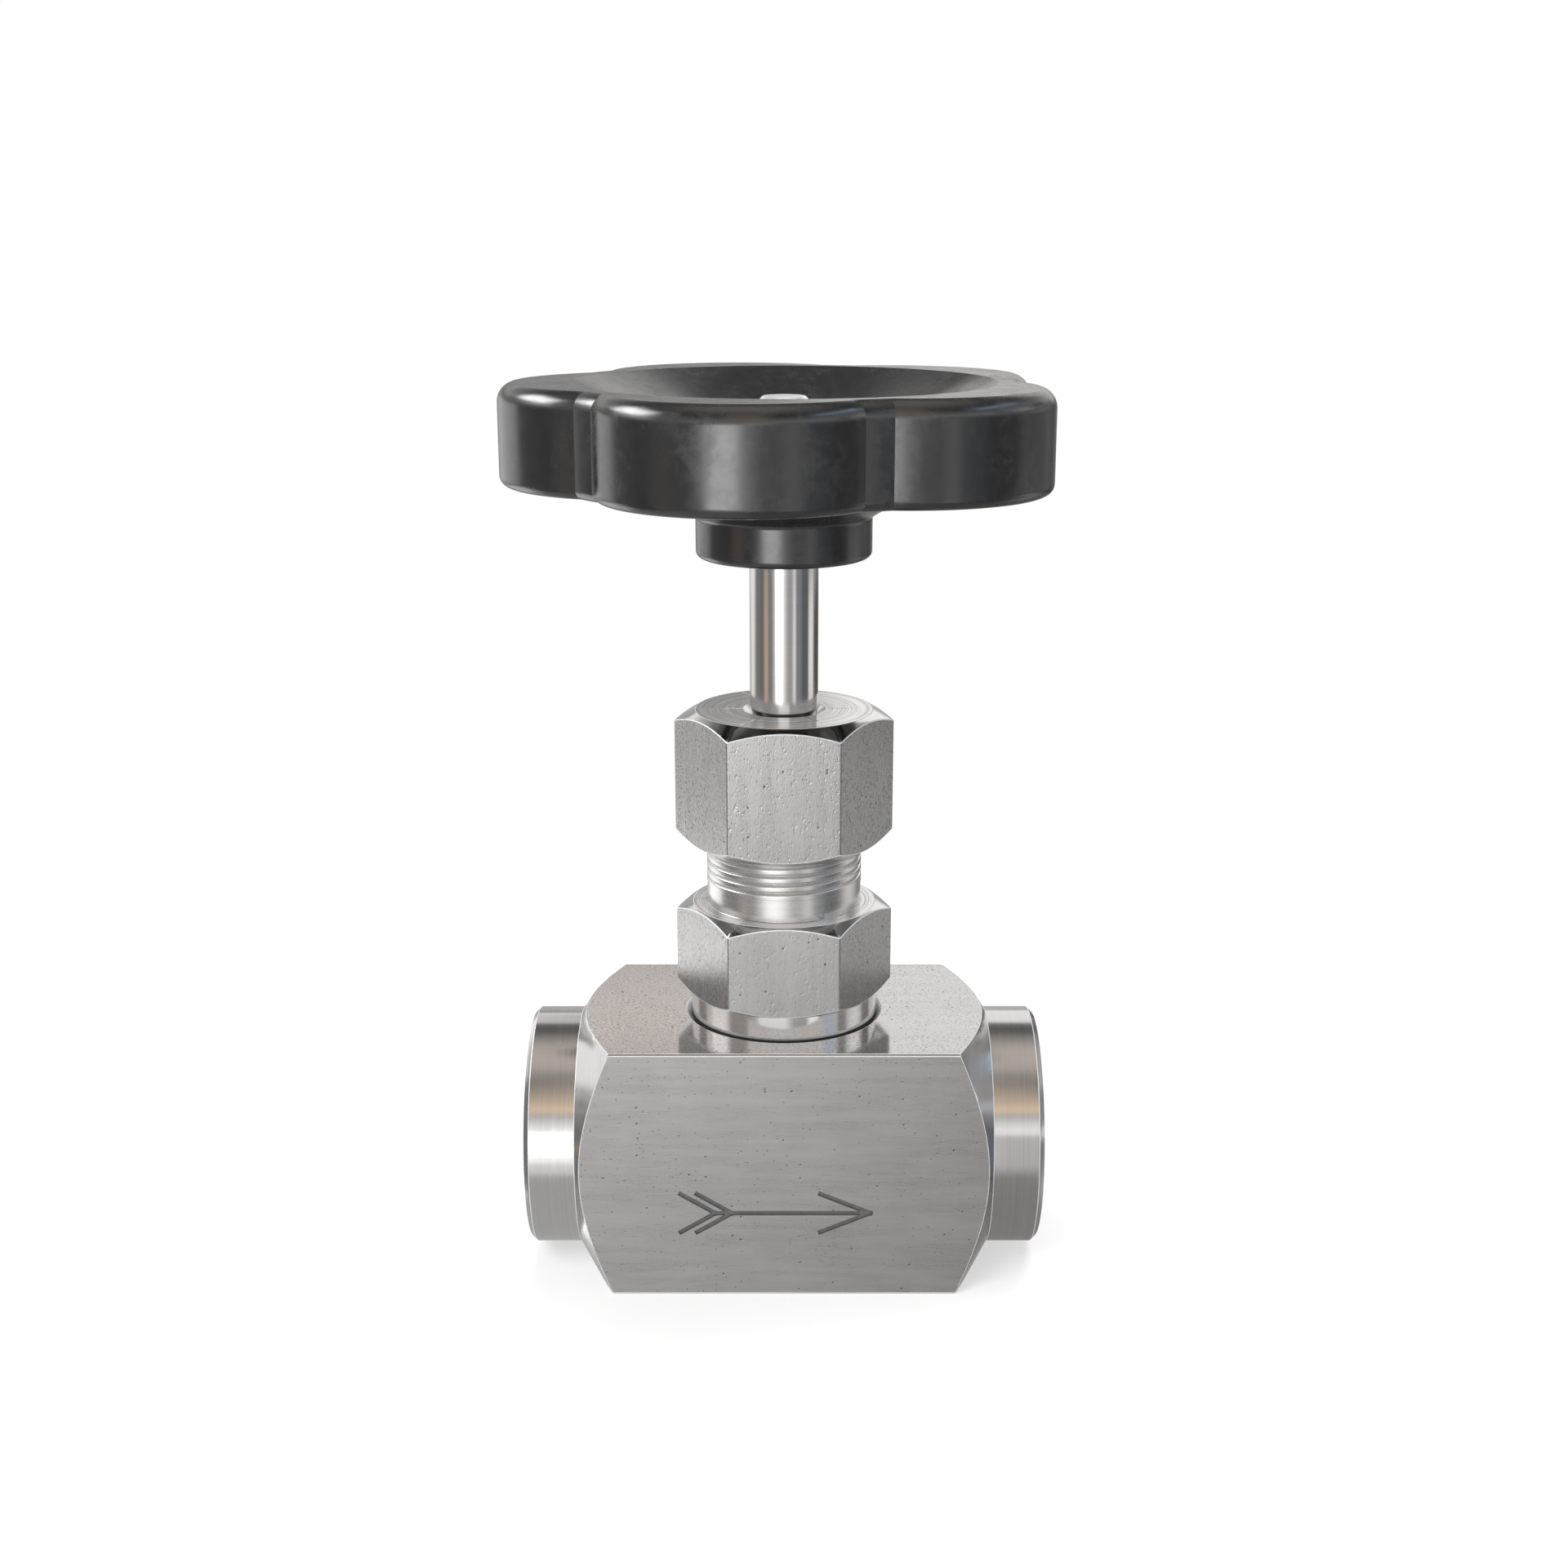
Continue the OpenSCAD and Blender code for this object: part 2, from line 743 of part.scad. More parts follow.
// Hub below the rim with a rounded lower edge and the sloping underside of the web
module hub_and_web() {
    hub_r = hub_d / 2;
    web_bottom = hub_bottom + hub_wall;
    web_top = wheel_bottom + cut;
    web_r = hub_r + (web_top - web_bottom) / tan(web_angle);
    translate([0, 0, hub_bottom])
        rotate_extrude() {
            square([hub_r - hub_round, hub_height + cut]);
            translate([0, hub_round])
                square([hub_r, hub_height + cut - hub_round]);
            translate([hub_r - hub_round, hub_round])
                circle(hub_round);
        }
    translate([0, 0, web_bottom])
        cylinder(h = web_top - web_bottom, r1 = hub_r, r2 = web_r);
}

// Ring-shaped groove in the underside, inside the rim
module underside_groove() {
    outer_r = rim_inner_d / 2;
    inner_r = outer_r - groove_width;
    draft = 0.5;
    translate([0, 0, wheel_bottom])
        rotate_extrude()
            polygon([
                [inner_r - draft, -cut],
                [outer_r + draft, -cut],
                [outer_r - draft, groove_depth],
                [inner_r + draft, groove_depth]
            ]);
}

module handwheel() {
    color("dimgray")
        difference() {
            union() {
                difference() {
                    translate([0, 0, wheel_bottom])
                        lobed_rim();
                    underside_groove();
                    rotate_extrude()
                        polygon([
                            [0, dish_floor],
                            [dish_floor_d / 2, dish_floor],
                            [dish_d / 2, wheel_top],
                            [dish_d / 2, wheel_top + cut],
                            [0, wheel_top + cut]
                        ]);
                }
                hub_and_web();
            }
            translate([0, 0, hub_bottom - cut])
                cylinder(h = dish_floor - hub_bottom + 2 * cut, d = insert_d + 2 * fit_clearance);
        }
}

module wheel_insert() {
    square_hole = square_af + 2 * fit_clearance;
    color("goldenrod")
        difference() {
            translate([0, 0, hub_bottom])
                cylinder(h = dish_floor - hub_bottom, d = insert_d);
            translate([0, 0, hub_bottom - cut])
                cylinder(h = stem_socket + fit_clearance + cut, d = stem_d + 2 * fit_clearance);
            translate([-square_hole / 2, -square_hole / 2, hub_bottom])
                cube([square_hole, square_hole, dish_floor - hub_bottom + cut]);
        }
}

module wheel_washer() {
    color("silver")
        translate([0, 0, dish_floor])
            ring(washer_d, screw_d + 0.3, washer_thickness);
}

module wheel_spring_washer() {
    color("gainsboro")
        translate([0, 0, washer_top])
            difference() {
                ring(spring_washer_d, screw_d + 0.2, spring_washer_thickness);
                translate([0, -spring_washer_split / 2, -cut])
                    cube([spring_washer_d, spring_washer_split, spring_washer_thickness + 2 * cut]);
            }
}

module wheel_screw() {
    color("whitesmoke") {
        translate([0, 0, spring_washer_top])
            chamfered_hexagon(screw_af, screw_head, screw_af / cos(30), screw_face_d, 45);
        translate([0, 0, spring_washer_top - screw_length])
            cylinder(h = screw_length + cut, d = screw_d);
    }
}

valve_body();
bonnet();
bonnet_gasket();
gland_nut();
gland_slip_washer();
gland_follower();
packing_upper_adapter();
packing_ring(3);  // packing_ring_upper
packing_ring(2);  // packing_ring_third
packing_ring(1);  // packing_ring_second
packing_ring(0);  // packing_ring_lower
packing_lower_adapter();
spindle();
needle();
needle_pins();
thrust_ball();
handwheel();
wheel_insert();
wheel_washer();
wheel_spring_washer();
wheel_screw();
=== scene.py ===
import math

import bmesh
import bpy
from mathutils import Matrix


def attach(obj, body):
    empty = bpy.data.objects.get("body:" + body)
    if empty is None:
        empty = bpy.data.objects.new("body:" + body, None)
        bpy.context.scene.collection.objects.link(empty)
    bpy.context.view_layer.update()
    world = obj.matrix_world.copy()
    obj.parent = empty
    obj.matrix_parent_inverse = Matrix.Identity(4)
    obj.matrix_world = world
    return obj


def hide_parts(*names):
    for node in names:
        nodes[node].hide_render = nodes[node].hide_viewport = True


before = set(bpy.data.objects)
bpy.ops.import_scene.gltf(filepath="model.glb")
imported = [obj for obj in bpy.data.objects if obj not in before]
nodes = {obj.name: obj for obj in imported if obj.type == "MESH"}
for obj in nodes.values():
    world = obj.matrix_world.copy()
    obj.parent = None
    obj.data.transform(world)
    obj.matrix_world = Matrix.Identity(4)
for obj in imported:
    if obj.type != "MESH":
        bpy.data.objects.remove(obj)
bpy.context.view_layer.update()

# Lengths are in mm from the middle of the body's underside, and MM turns them into metres.
MM = 0.001
BAR_WIDTH = 38.2
PIPE_Z = BAR_WIDTH / 2
FLAT_Y = BAR_WIDTH / 2
BODY_TOP = BAR_WIDTH


# Materials


def rgba(shade):
    """Opaque colour from (red, green, blue) or from one grey value."""
    return (*shade, 1) if isinstance(shade, tuple) else (shade, shade, shade, 1)


class Shader:
    """A node material or world, put together by short calls. Lengths in its texture space are in mm."""

    def __init__(self, name, home=bpy.data.materials):
        self.owner = home.new(name)
        self.owner.use_nodes = True
        self.tree = self.owner.node_tree
        self.tree.nodes.clear()

    def add(self, kind, *values, **settings):
        """A new node, with values for its first sockets in their order."""
        made = self.tree.nodes.new("ShaderNode" + kind)
        for key, value in settings.items():
            setattr(made, key, value)
        for socket, value in zip(made.inputs, values):
            self.put(socket, value)
        return made

    def put(self, socket, value):
        """Links a node or socket, or sets a plain value."""
        if isinstance(value, bpy.types.Node):
            value = value.outputs[0]
        if isinstance(value, bpy.types.NodeSocket):
            self.tree.links.new(value, socket)
        else:
            socket.default_value = value

    def math(self, operation, *values):
        return self.add("Math", *values, operation=operation)

    def place(self):
        """Position in mm."""
        coords = self.add("TexCoord").outputs["Object"]
        return self.stretch(coords, (1 / MM, 1 / MM, 1 / MM))

    def stretch(self, vector, factors):
        return self.add("VectorMath", vector, factors, operation="MULTIPLY")

    def parts(self, vector):
        return self.add("SeparateXYZ", vector).outputs

    def hypot(self, first, second):
        squares = [self.math("POWER", side, 2.0) for side in (first, second)]
        return self.math("SQRT", self.math("ADD", *squares))

    def facing(self):
        """Parts of the direction in which the surface faces."""
        return self.parts(self.add("NewGeometry").outputs["True Normal"])

    def noise(self, vector, scale, detail=2.0, roughness=0.5, distortion=0.0):
        made = self.add("TexNoise")
        self.put(made.inputs["Vector"], vector)
        self.put(made.inputs["Scale"], scale)
        self.put(made.inputs["Detail"], detail)
        self.put(made.inputs["Roughness"], roughness)
        self.put(made.inputs["Distortion"], distortion)
        return made.outputs[0]

    def spots(self, vector, scale, size, share):
        """1 inside small round spots in a share of the cells, 0 elsewhere."""
        cells = self.add("TexVoronoi")
        self.put(cells.inputs["Vector"], vector)
        self.put(cells.inputs["Scale"], scale)
        chosen = self.math("GREATER_THAN", self.parts(cells.outputs["Color"])[0], 1 - share)
        reach = self.math("MULTIPLY", self.parts(cells.outputs["Color"])[1], size)
        inside = self.step(cells.outputs["Distance"], reach, self.math("MULTIPLY", reach, 0.4))
        return self.math("MULTIPLY", inside, chosen)

    def step(self, value, low, high, out_low=0.0, out_high=1.0):
        """Smooth step from out_low at low to out_high at high."""
        made = self.add("MapRange", interpolation_type="SMOOTHSTEP")
        for place, item in enumerate((value, low, high, out_low, out_high)):
            self.put(made.inputs[place], item)
        return made.outputs[0]

    def blend(self, base, *pairs):
        """base plus weight times (value minus a half) for every pair."""
        total = base
        for value, weight in pairs:
            total = self.math("ADD", total, self.math("MULTIPLY_ADD", value, weight, -weight / 2))
        return total

    def ramp(self, value, stops):
        """Colours between stops (where, shade), with the value running from 0 to 1."""
        made = self.add("ValToRGB", value)
        ramp = made.color_ramp
        for place, (where, shade) in enumerate(stops):
            mark = ramp.elements[place] if place < 2 else ramp.elements.new(where)
            mark.position = where
            mark.color = rgba(shade)
        return made.outputs[0]

    def tinted(self, value, tint):
        channels = [self.math("MULTIPLY", value, part) for part in tint]
        return self.add("CombineColor", *channels).outputs[0]

    def mix(self, share, first, second):
        made = self.add("Mix", data_type="RGBA")
        self.put(made.inputs[0], share)
        self.put(made.inputs[6], first)
        self.put(made.inputs[7], second)
        return made.outputs[2]

    def bump(self, height, depth_mm):
        made = self.add("Bump")
        self.put(made.inputs["Distance"], depth_mm * MM)
        self.put(made.inputs["Height"], height)
        return made.outputs[0]

    def surface(self, shader, output="OutputMaterial"):
        """Ends the node tree in a shader. Returns the material or world."""
        self.put(self.add(output).inputs["Surface"], shader)
        return self.owner

    def finish(self, colour, roughness, normal, **sockets):
        bsdf = self.add("BsdfPrincipled")
        self.put(bsdf.inputs["Base Color"], colour)
        self.put(bsdf.inputs["Roughness"], roughness)
        self.put(bsdf.inputs["Normal"], normal)
        for key, value in sockets.items():
            self.put(bsdf.inputs[key.replace("_", " ")], value)
        return self.surface(bsdf)


STEEL_TINT = (1.0, 0.984, 0.974)
PIT_BROWN = (0.17, 0.075, 0.05)
RUST_BROWN = (0.40, 0.29, 0.25)
RUST_FROM_X, RUST_FULL_X = 4.0, -24.0


def drawn_steel(name, along, tone, roughness, dimples, speckle, side_speckle=0.0, stain=0.0):
    """Flat of a drawn bar: grain along one axis, cloudy streaks, speckle, dimples and small brown pits.

    side_speckle is added on flats that face along the pipe, stain is rust on the inlet's half.
    """
    s = Shader(name)
    place = s.place()

    def grain(lengthwise, across, detail, roughness=0.5):
        factors = [lengthwise if axis == along else across for axis in "XYZ"]
        return s.noise(s.stretch(place, factors), 1.0, detail, roughness)

    fine = grain(0.35, 7.0, 2)
    streak = grain(0.06, 0.7, 3, 0.5)
    mottle = grain(2.2, 5.0, 3, 0.7)
    dents = grain(1.7, 2.4, 1)
    cloud = s.noise(place, 0.16, 3)
    sideways = s.step(s.math("ABSOLUTE", s.facing()[0]), 0.3, 0.7)
    strength = s.math("MULTIPLY_ADD", sideways, side_speckle, speckle)
    marks = s.math("MULTIPLY", s.step(mottle, 0.54, 0.63), s.step(cloud, 0.25, 0.55))
    marks = s.math("MULTIPLY", marks, strength)
    pits = s.math("MAXIMUM", s.spots(place, 0.8, 0.24, 0.22), s.spots(place, 2.1, 0.30, 0.12))
    dusted = s.math("MULTIPLY", s.spots(place, 4.2, 0.42, 0.08), s.step(streak, 0.56, 0.40))
    pits = s.math("MAXIMUM", pits, dusted)
    value = s.blend(tone, (fine, 0.08), (streak, 0.15), (cloud, 0.09))
    value = s.math("MULTIPLY", value, s.math("SUBTRACT", 1.0, marks))
    colour = s.tinted(value, STEEL_TINT)
    if stain:
        inlet_side = s.step(s.parts(place)[0], RUST_FROM_X, RUST_FULL_X)
        rust = s.math("MULTIPLY", inlet_side, s.step(mottle, 0.40, 0.60))
        colour = s.mix(s.math("MULTIPLY", rust, stain), colour, rgba(RUST_BROWN))
    colour = s.mix(s.math("MULTIPLY", pits, 0.8), colour, rgba(PIT_BROWN))
    rough = s.blend(roughness, (fine, 0.10), (streak, 0.10), (marks, 0.10))
    peel = s.blend(0.5, (mottle, dimples), (s.step(dents, 0.60, 0.74), -dimples))
    height = s.blend(peel, (fine, 0.3), (pits, -1.5))
    return s.finish(colour, rough, s.bump(height, 0.012), Metallic=1.0)


def turned_steel(name, axis, tone, roughness, rings, tint=STEEL_TINT, faced=False, metallic=1.0):
    """Lathe-turned metal: rings round the axis, broken along their length, with dull cuts on faced ends."""
    s = Shader(name)
    place = s.place()
    if axis == "X":
        place = s.add("VectorMath", place, (0, 0, -PIPE_Z), operation="ADD")
    x, y, z = s.parts(place)
    along, first, second = (x, y, z) if axis == "X" else (z, x, y)
    turn = s.math("ARCTAN2", second, first)
    ringed = s.add("CombineXYZ", s.hypot(first, second), along, turn).outputs[0]
    fine = s.noise(s.stretch(ringed, (11.0, 11.0, 0.5)), 1.0, 2)
    coarse = s.noise(s.stretch(ringed, (2.6, 2.6, 0.35)), 1.0, 3, 0.6)
    cloud = s.noise(place, 0.22, 3)
    value = s.blend(tone, (fine, 0.08), (coarse, 0.12), (cloud, 0.06))
    rough = s.blend(roughness, (fine, 0.06), (coarse, 0.08), (cloud, 0.08))
    normal = s.bump(s.blend(0.5, (fine, 0.5), (coarse, 0.6)), rings)
    if faced:
        upward = s.step(s.facing()[2], 0.90, 0.98)
        cuts = s.step(s.noise(s.stretch(ringed, (4.6, 4.6, 0.5)), 1.0, 3, 0.7), 0.44, 0.60)
        dulled = s.math("MULTIPLY", s.math("MULTIPLY", upward, cuts), 0.42)
        value = s.math("MULTIPLY", value, s.math("SUBTRACT", 1.0, dulled))
    return s.finish(s.tinted(value, tint), rough, normal, Metallic=metallic)


def polished_steel(name):
    """Ground and polished shaft with faint lathe lines and a few rubbed bands."""
    s = Shader(name)
    x, y, z = s.parts(s.place())
    turn = s.math("ARCTAN2", y, x)
    ringed = s.add("CombineXYZ", z, turn, 0.0).outputs[0]
    lines = s.noise(s.stretch(ringed, (14.0, 0.4, 1.0)), 1.0, 2)
    rubbed = s.noise(s.stretch(ringed, (0.5, 0.6, 1.0)), 1.0, 3)
    value = s.blend(0.76, (lines, 0.08), (rubbed, 0.06))
    rough = s.blend(0.13, (lines, 0.07), (rubbed, 0.06))
    normal = s.bump(lines, 0.002)
    return s.finish(s.tinted(value, STEEL_TINT), rough, normal, Metallic=1.0)


def bright_edge_highlight(name):
    """Broken edge of a steel piece: worn bright with small nicks, and also a painted highlight: pale and
    half diffuse, so that it shows as a light line.
    """
    s = Shader(name)
    nicks = s.noise(s.place(), 2.4, 3, 0.6)
    value = s.blend(0.90, (nicks, 0.12))
    rough = s.blend(0.48, (nicks, 0.12))
    return s.finish(s.tinted(value, (0.96, 0.98, 1.0)), rough, s.bump(nicks, 0.02), Metallic=0.5)


def engraved_steel(name):
    """Floor of an engraved line: etched dark grey and rough."""
    s = Shader(name)
    place = s.place()
    grit = s.noise(place, 6.0, 3, 0.7)
    patch = s.noise(place, 1.1, 2)
    value = s.blend(0.19, (grit, 0.10), (patch, 0.08))
    rough = s.blend(0.55, (grit, 0.2))
    return s.finish(s.tinted(value, (1.0, 1.0, 1.0)), rough, s.bump(grit, 0.04), Metallic=0.7)


def gap_shade_steel(name):
    """Painted shade for steel deep in a narrow gap: near black, with a faint warm mottle."""
    s = Shader(name)
    shade_mottle = s.noise(s.place(), 1.5, 3, 0.6)
    value = s.blend(0.035, (shade_mottle, 0.03))
    return s.finish(s.tinted(value, (1.0, 0.92, 0.84)), 0.5, s.bump(shade_mottle, 0.02), Metallic=0.5)


def moulded_plastic(name):
    """Black phenolic: satin skin with handling smudges, faint flow clouds and tiny dust pits."""
    s = Shader(name)
    place = s.place()
    smudge = s.noise(s.stretch(place, (1.0, 1.0, 0.55)), 0.13, 5, 0.62, 0.6)
    stain = s.noise(place, 0.55, 4, 0.65, 0.4)
    grain = s.noise(place, 5.0, 2)
    dust = s.spots(place, 0.6, 0.12, 0.10)
    worn = s.math("MULTIPLY", s.step(smudge, 0.42, 0.74), s.step(stain, 0.36, 0.66))
    value = s.blend(0.007, (smudge, 0.004), (stain, 0.003))
    value = s.math("ADD", value, s.math("MULTIPLY", worn, 0.008))
    rough = s.blend(0.22, (smudge, 0.14), (stain, 0.22), (grain, 0.03))
    rough = s.math("ADD", rough, s.math("MULTIPLY", worn, 0.08))
    height = s.blend(0.5, (grain, 0.25), (stain, 0.9), (dust, -0.6))
    normal = s.bump(height, 0.005)
    colour = s.tinted(value, (1.0, 1.0, 1.04))
    return s.finish(colour, rough, normal, IOR=1.62, Specular_IOR_Level=1.0)


def seal_polymer(name, colour):
    """White fluoropolymer with fine turning marks."""
    s = Shader(name)
    place = s.place()
    cloud = s.noise(place, 0.8, 3)
    grain = s.noise(s.stretch(place, (0.6, 0.6, 6.0)), 1.0, 2)
    value = s.blend(0.95, (cloud, 0.08), (grain, 0.05))
    rough = s.blend(0.5, (grain, 0.15))
    return s.finish(s.tinted(value, colour), rough, s.bump(grain, 0.01))


BODY_FLAT = drawn_steel("body_flat", "X", tone=0.54, roughness=0.34, dimples=0.03, speckle=0.045)
BODY_UPPER = drawn_steel(
    "body_upper_face", "X", tone=0.65, roughness=0.15, dimples=0.10, speckle=0.80, stain=0.45
)
BODY_TURNED = turned_steel("body_turned", "X", tone=0.72, roughness=0.15, rings=0.006)
NUT_FLAT = drawn_steel(
    "nut_flat", "Z", tone=0.50, roughness=0.31, dimples=1.5, speckle=0.12, side_speckle=0.62
)
BONNET_FLAT = drawn_steel(
    "bonnet_flat", "Z", tone=0.53, roughness=0.32, dimples=0.90, speckle=0.12, side_speckle=0.40
)
AXIS_TURNED = turned_steel("axis_turned", "Z", tone=0.80, roughness=0.11, rings=0.003, faced=True)
SHANK_TURNED = turned_steel("shank_turned", "Z", tone=0.88, roughness=0.27, rings=0.002)
POLISHED = polished_steel("polished_shaft")
# Worn edges, with a painted highlight.
EDGE_HIGHLIGHT = bright_edge_highlight("worn_edge_highlight")
ENGRAVED = engraved_steel("engraved_line")
# Painted shade for the bonnet's collar where it goes down into the body.
GAP_SHADE = gap_shade_steel("painted_gap_shade")
PLASTIC = moulded_plastic("black_phenolic")
BRIGHT_ZINC = turned_steel(
    "bright_fastener", "Z", tone=0.82, roughness=0.22, rings=0.006, tint=(0.97, 1.0, 1.02), metallic=0.6
)
BRASS = turned_steel("dull_brass", "Z", tone=0.22, roughness=0.38, rings=0.008, tint=(1.0, 0.80, 0.48))
SEAL = seal_polymer("seal_polymer", (0.86, 0.85, 0.82))


# Pieces


def dressed(name, mesh, materials, body, node, sharp=38):
    """Puts a finished mesh in the place of a CAD node."""
    for material in materials:
        mesh.materials.append(material)
    mesh.shade_smooth()
    mesh.set_sharp_from_angle(angle=math.radians(sharp))
    piece = bpy.data.objects.new(name, mesh)
    bpy.context.scene.collection.objects.link(piece)
    weights = piece.modifiers.new("face_normals", "WEIGHTED_NORMAL")
    weights.keep_sharp = True
    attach(piece, body)
    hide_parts(node)


def skin(name, rows, kinds):
    """Closed mesh through rows of points in mm.

    Band k joins row k to the next one, the last band joins the last row to the first, and kinds[k] is
    the place of the band's material.
    """
    count = len(rows[0])
    points = [(x * MM, y * MM, z * MM) for row in rows for x, y, z in row]
    faces = []
    for k in range(len(rows)):
        here, after = k * count, (k + 1) % len(rows) * count
        for i in range(count):
            j = (i + 1) % count
            faces.append((here + i, here + j, after + j, after + i))
    mesh = bpy.data.meshes.new(name)
    mesh.from_pydata(points, [], faces)
    mesh.polygons.foreach_set("material_index", [kind for kind in kinds for _ in range(count)])
    shape = bmesh.new()
    shape.from_mesh(mesh)
    bmesh.ops.recalc_face_normals(shape, faces=shape.faces)
    shape.to_mesh(mesh)
    shape.free()
    return mesh


class Section:
    """Rows of a ring-shaped piece, gathered while walking once round its section."""

    def __init__(self, columns):
        self.columns = [math.radians(column) for column in columns]
        self.degrees = columns
        self.rows = []
        self.kinds = []

    def add(self, spots, kind):
        """One row from (radius, height) for each column. kind is the material of the band after it."""
        self.rows.append(
            [(r * math.cos(a), r * math.sin(a), z) for a, (r, z) in zip(self.columns, spots)]
        )
        self.kinds.append(kind)

    def circle(self, radius, height, kind):
        self.add([(radius, height)] * len(self.columns), kind)


def arc(centre_r, centre_z, radius, start, end, steps):
    """Points (r, z) along an arc in a section, angles in degrees from outwards to upwards."""
    points = []
    for step in range(steps + 1):
        way = math.radians(start + (end - start) * step / steps)
        points.append((centre_r + radius * math.cos(way), centre_z + radius * math.sin(way)))
    return points


# Hexagon pieces

# Places in a piece's list of materials. The third is worn edges with a painted highlight, the fourth is the
# engraved line on the body or painted shade on the bonnet's collar, and the fifth is the bonnet's shank or
# the body's upper face.
TURNED, FLAT, WORN_HIGHLIGHT, DARK, SHANK = range(5)
UPPER = SHANK
# Columns stand close at the rounded corners, in degrees from the corner.
HEX_STEPS = (0, 0.18, 0.36, 0.534, 1.2, 2.5, 4.5, 7, 10, 14, 18, 22, 26)
HEX_COLUMNS = [
    60 * corner + step
    for corner in range(6)
    for step in (*HEX_STEPS, 30, *[60 - step for step in reversed(HEX_STEPS[1:])])
]
CHAMFER_SLOPE = math.tan(math.radians(30))
CORNER_ROUND = 0.3
EDGE_BREAK = 0.10
LEAST_STEP = 0.02


def hex_radius(degrees, across):
    """Distance from the axis to a hexagon with slightly rounded corners."""
    way = math.radians(abs((degrees + 30) % 60 - 30))
    centre = across / math.sqrt(3) - CORNER_ROUND / math.sin(math.radians(60))
    tangent = math.atan2(CORNER_ROUND / 2, centre + CORNER_ROUND * math.cos(math.radians(30)))
    if way <= tangent:
        return centre * math.cos(way) + math.sqrt(CORNER_ROUND**2 - (centre * math.sin(way)) ** 2)
    return across / 2 / math.cos(math.radians(30) - way)


def hexagon(section, across, low, high, low_r, high_r):
    """Adds a chamfered hexagon, from the edge of its upper face down to the edge of its lower face."""
    reach = [hex_radius(degrees, across) for degrees in section.degrees]
    drop = EDGE_BREAK * CHAMFER_SLOPE
    section.circle(high_r - EDGE_BREAK, high, WORN_HIGHLIGHT)
    section.circle(high_r + EDGE_BREAK / 2, high - drop / 2, TURNED)
    inner = [max(high_r + EDGE_BREAK, r - EDGE_BREAK) for r in reach]
    section.add([(r, high - (r - high_r) * CHAMFER_SLOPE) for r in inner], WORN_HIGHLIGHT)
    section.add([(r, high - (r - high_r) * CHAMFER_SLOPE - EDGE_BREAK) for r in reach], FLAT)
    section.add([(r, low + (r - low_r) * CHAMFER_SLOPE + EDGE_BREAK) for r in reach], WORN_HIGHLIGHT)
    inner = [max(low_r + LEAST_STEP, r - EDGE_BREAK) for r in reach]
    section.add([(r, low + (r - low_r) * CHAMFER_SLOPE) for r in inner], TURNED)
    section.circle(low_r, low, TURNED)


HEX_ACROSS = 28.0
NUT_LOW, NUT_HIGH, NUT_CEILING = 64.7, 84.85, 79.0
NUT_FACE_R = 13.05
NUT_HOLE_R, NUT_HOLE_CHAMFER, NUT_HOLE_BREAK = 5.12, 0.95, 0.05
NUT_BORE_R = 11.625

nut = Section(HEX_COLUMNS)
nut.circle(NUT_BORE_R, NUT_LOW, TURNED)
nut.circle(NUT_BORE_R, NUT_CEILING, TURNED)
nut.circle(NUT_HOLE_R, NUT_CEILING, TURNED)
nut.circle(NUT_HOLE_R, NUT_HIGH - NUT_HOLE_CHAMFER, TURNED)
nut.circle(NUT_HOLE_R + NUT_HOLE_CHAMFER - NUT_HOLE_BREAK, NUT_HIGH - NUT_HOLE_BREAK, WORN_HIGHLIGHT)
nut.circle(NUT_HOLE_R + NUT_HOLE_CHAMFER + NUT_HOLE_BREAK, NUT_HIGH, TURNED)
hexagon(nut, HEX_ACROSS, NUT_LOW, NUT_HIGH, NUT_FACE_R, NUT_FACE_R)
dressed(
    "gland_nut_finished",
    skin("gland_nut_finished", nut.rows, nut.kinds),
    [AXIS_TURNED, NUT_FLAT, EDGE_HIGHLIGHT],
    "valve",
    "gland_nut",
)

THREAD_R, THREAD_PITCH, THREAD_DEPTH = 11.525, 1.3, 0.65
THREAD_LOW, THREAD_SHOWN, BONNET_TOP = 58.9, 66.2, 74.1
THREAD_ROWS_PER_TURN = 32
THREAD_ROOT_R = THREAD_R - THREAD_DEPTH
THREAD_RUN_OUT, THREAD_START, THREAD_END = 0.9, 0.1, 0.06
FLANK_SHAPE = 3.0
SHANK_R, SHANK_FILLET, SHANK_FILLET_STEPS = 11.45, 0.1, 3
COLLAR_R, COLLAR_LOW, COLLAR_BREAK, COLLAR_STEP = 13.95, 35.2, 0.15, 0.1
# How far above the body's upper face the collar's painted shade starts.
GAP_SHADE_RISE = 0.05
BONNET_HEX_LOW, BONNET_HEX_HIGH, BONNET_FACE_R = 41.7, 55.5, 13.6
BONNET_LOW, BONNET_PLUG_R = 25.2, 11.0
SCREW_BORE_R, SCREW_BORE_TOP = 6.1, 51.26
NECK_BORE_R, NECK_BORE_LOW = 5.06, 52.3
PACKING_BORE_R, PACKING_FLOOR = 8.0, 56.3


def smooth(value, low, high):
    share = min(max((value - low) / (high - low), 0.0), 1.0)
    return share * share * (3 - 2 * share)


def thread_radius(degrees, height):
    """Right-hand thread that runs out into the plain shank."""
    turn = (height - THREAD_LOW) / THREAD_PITCH - degrees / 360
    flank = abs((turn % 1.0) - 0.5) * 2
    groove = 0.5 - 0.5 * math.cos(math.pi * flank**FLANK_SHAPE)
    return THREAD_R - THREAD_DEPTH * groove * smooth(height, THREAD_LOW, THREAD_LOW + THREAD_RUN_OUT)


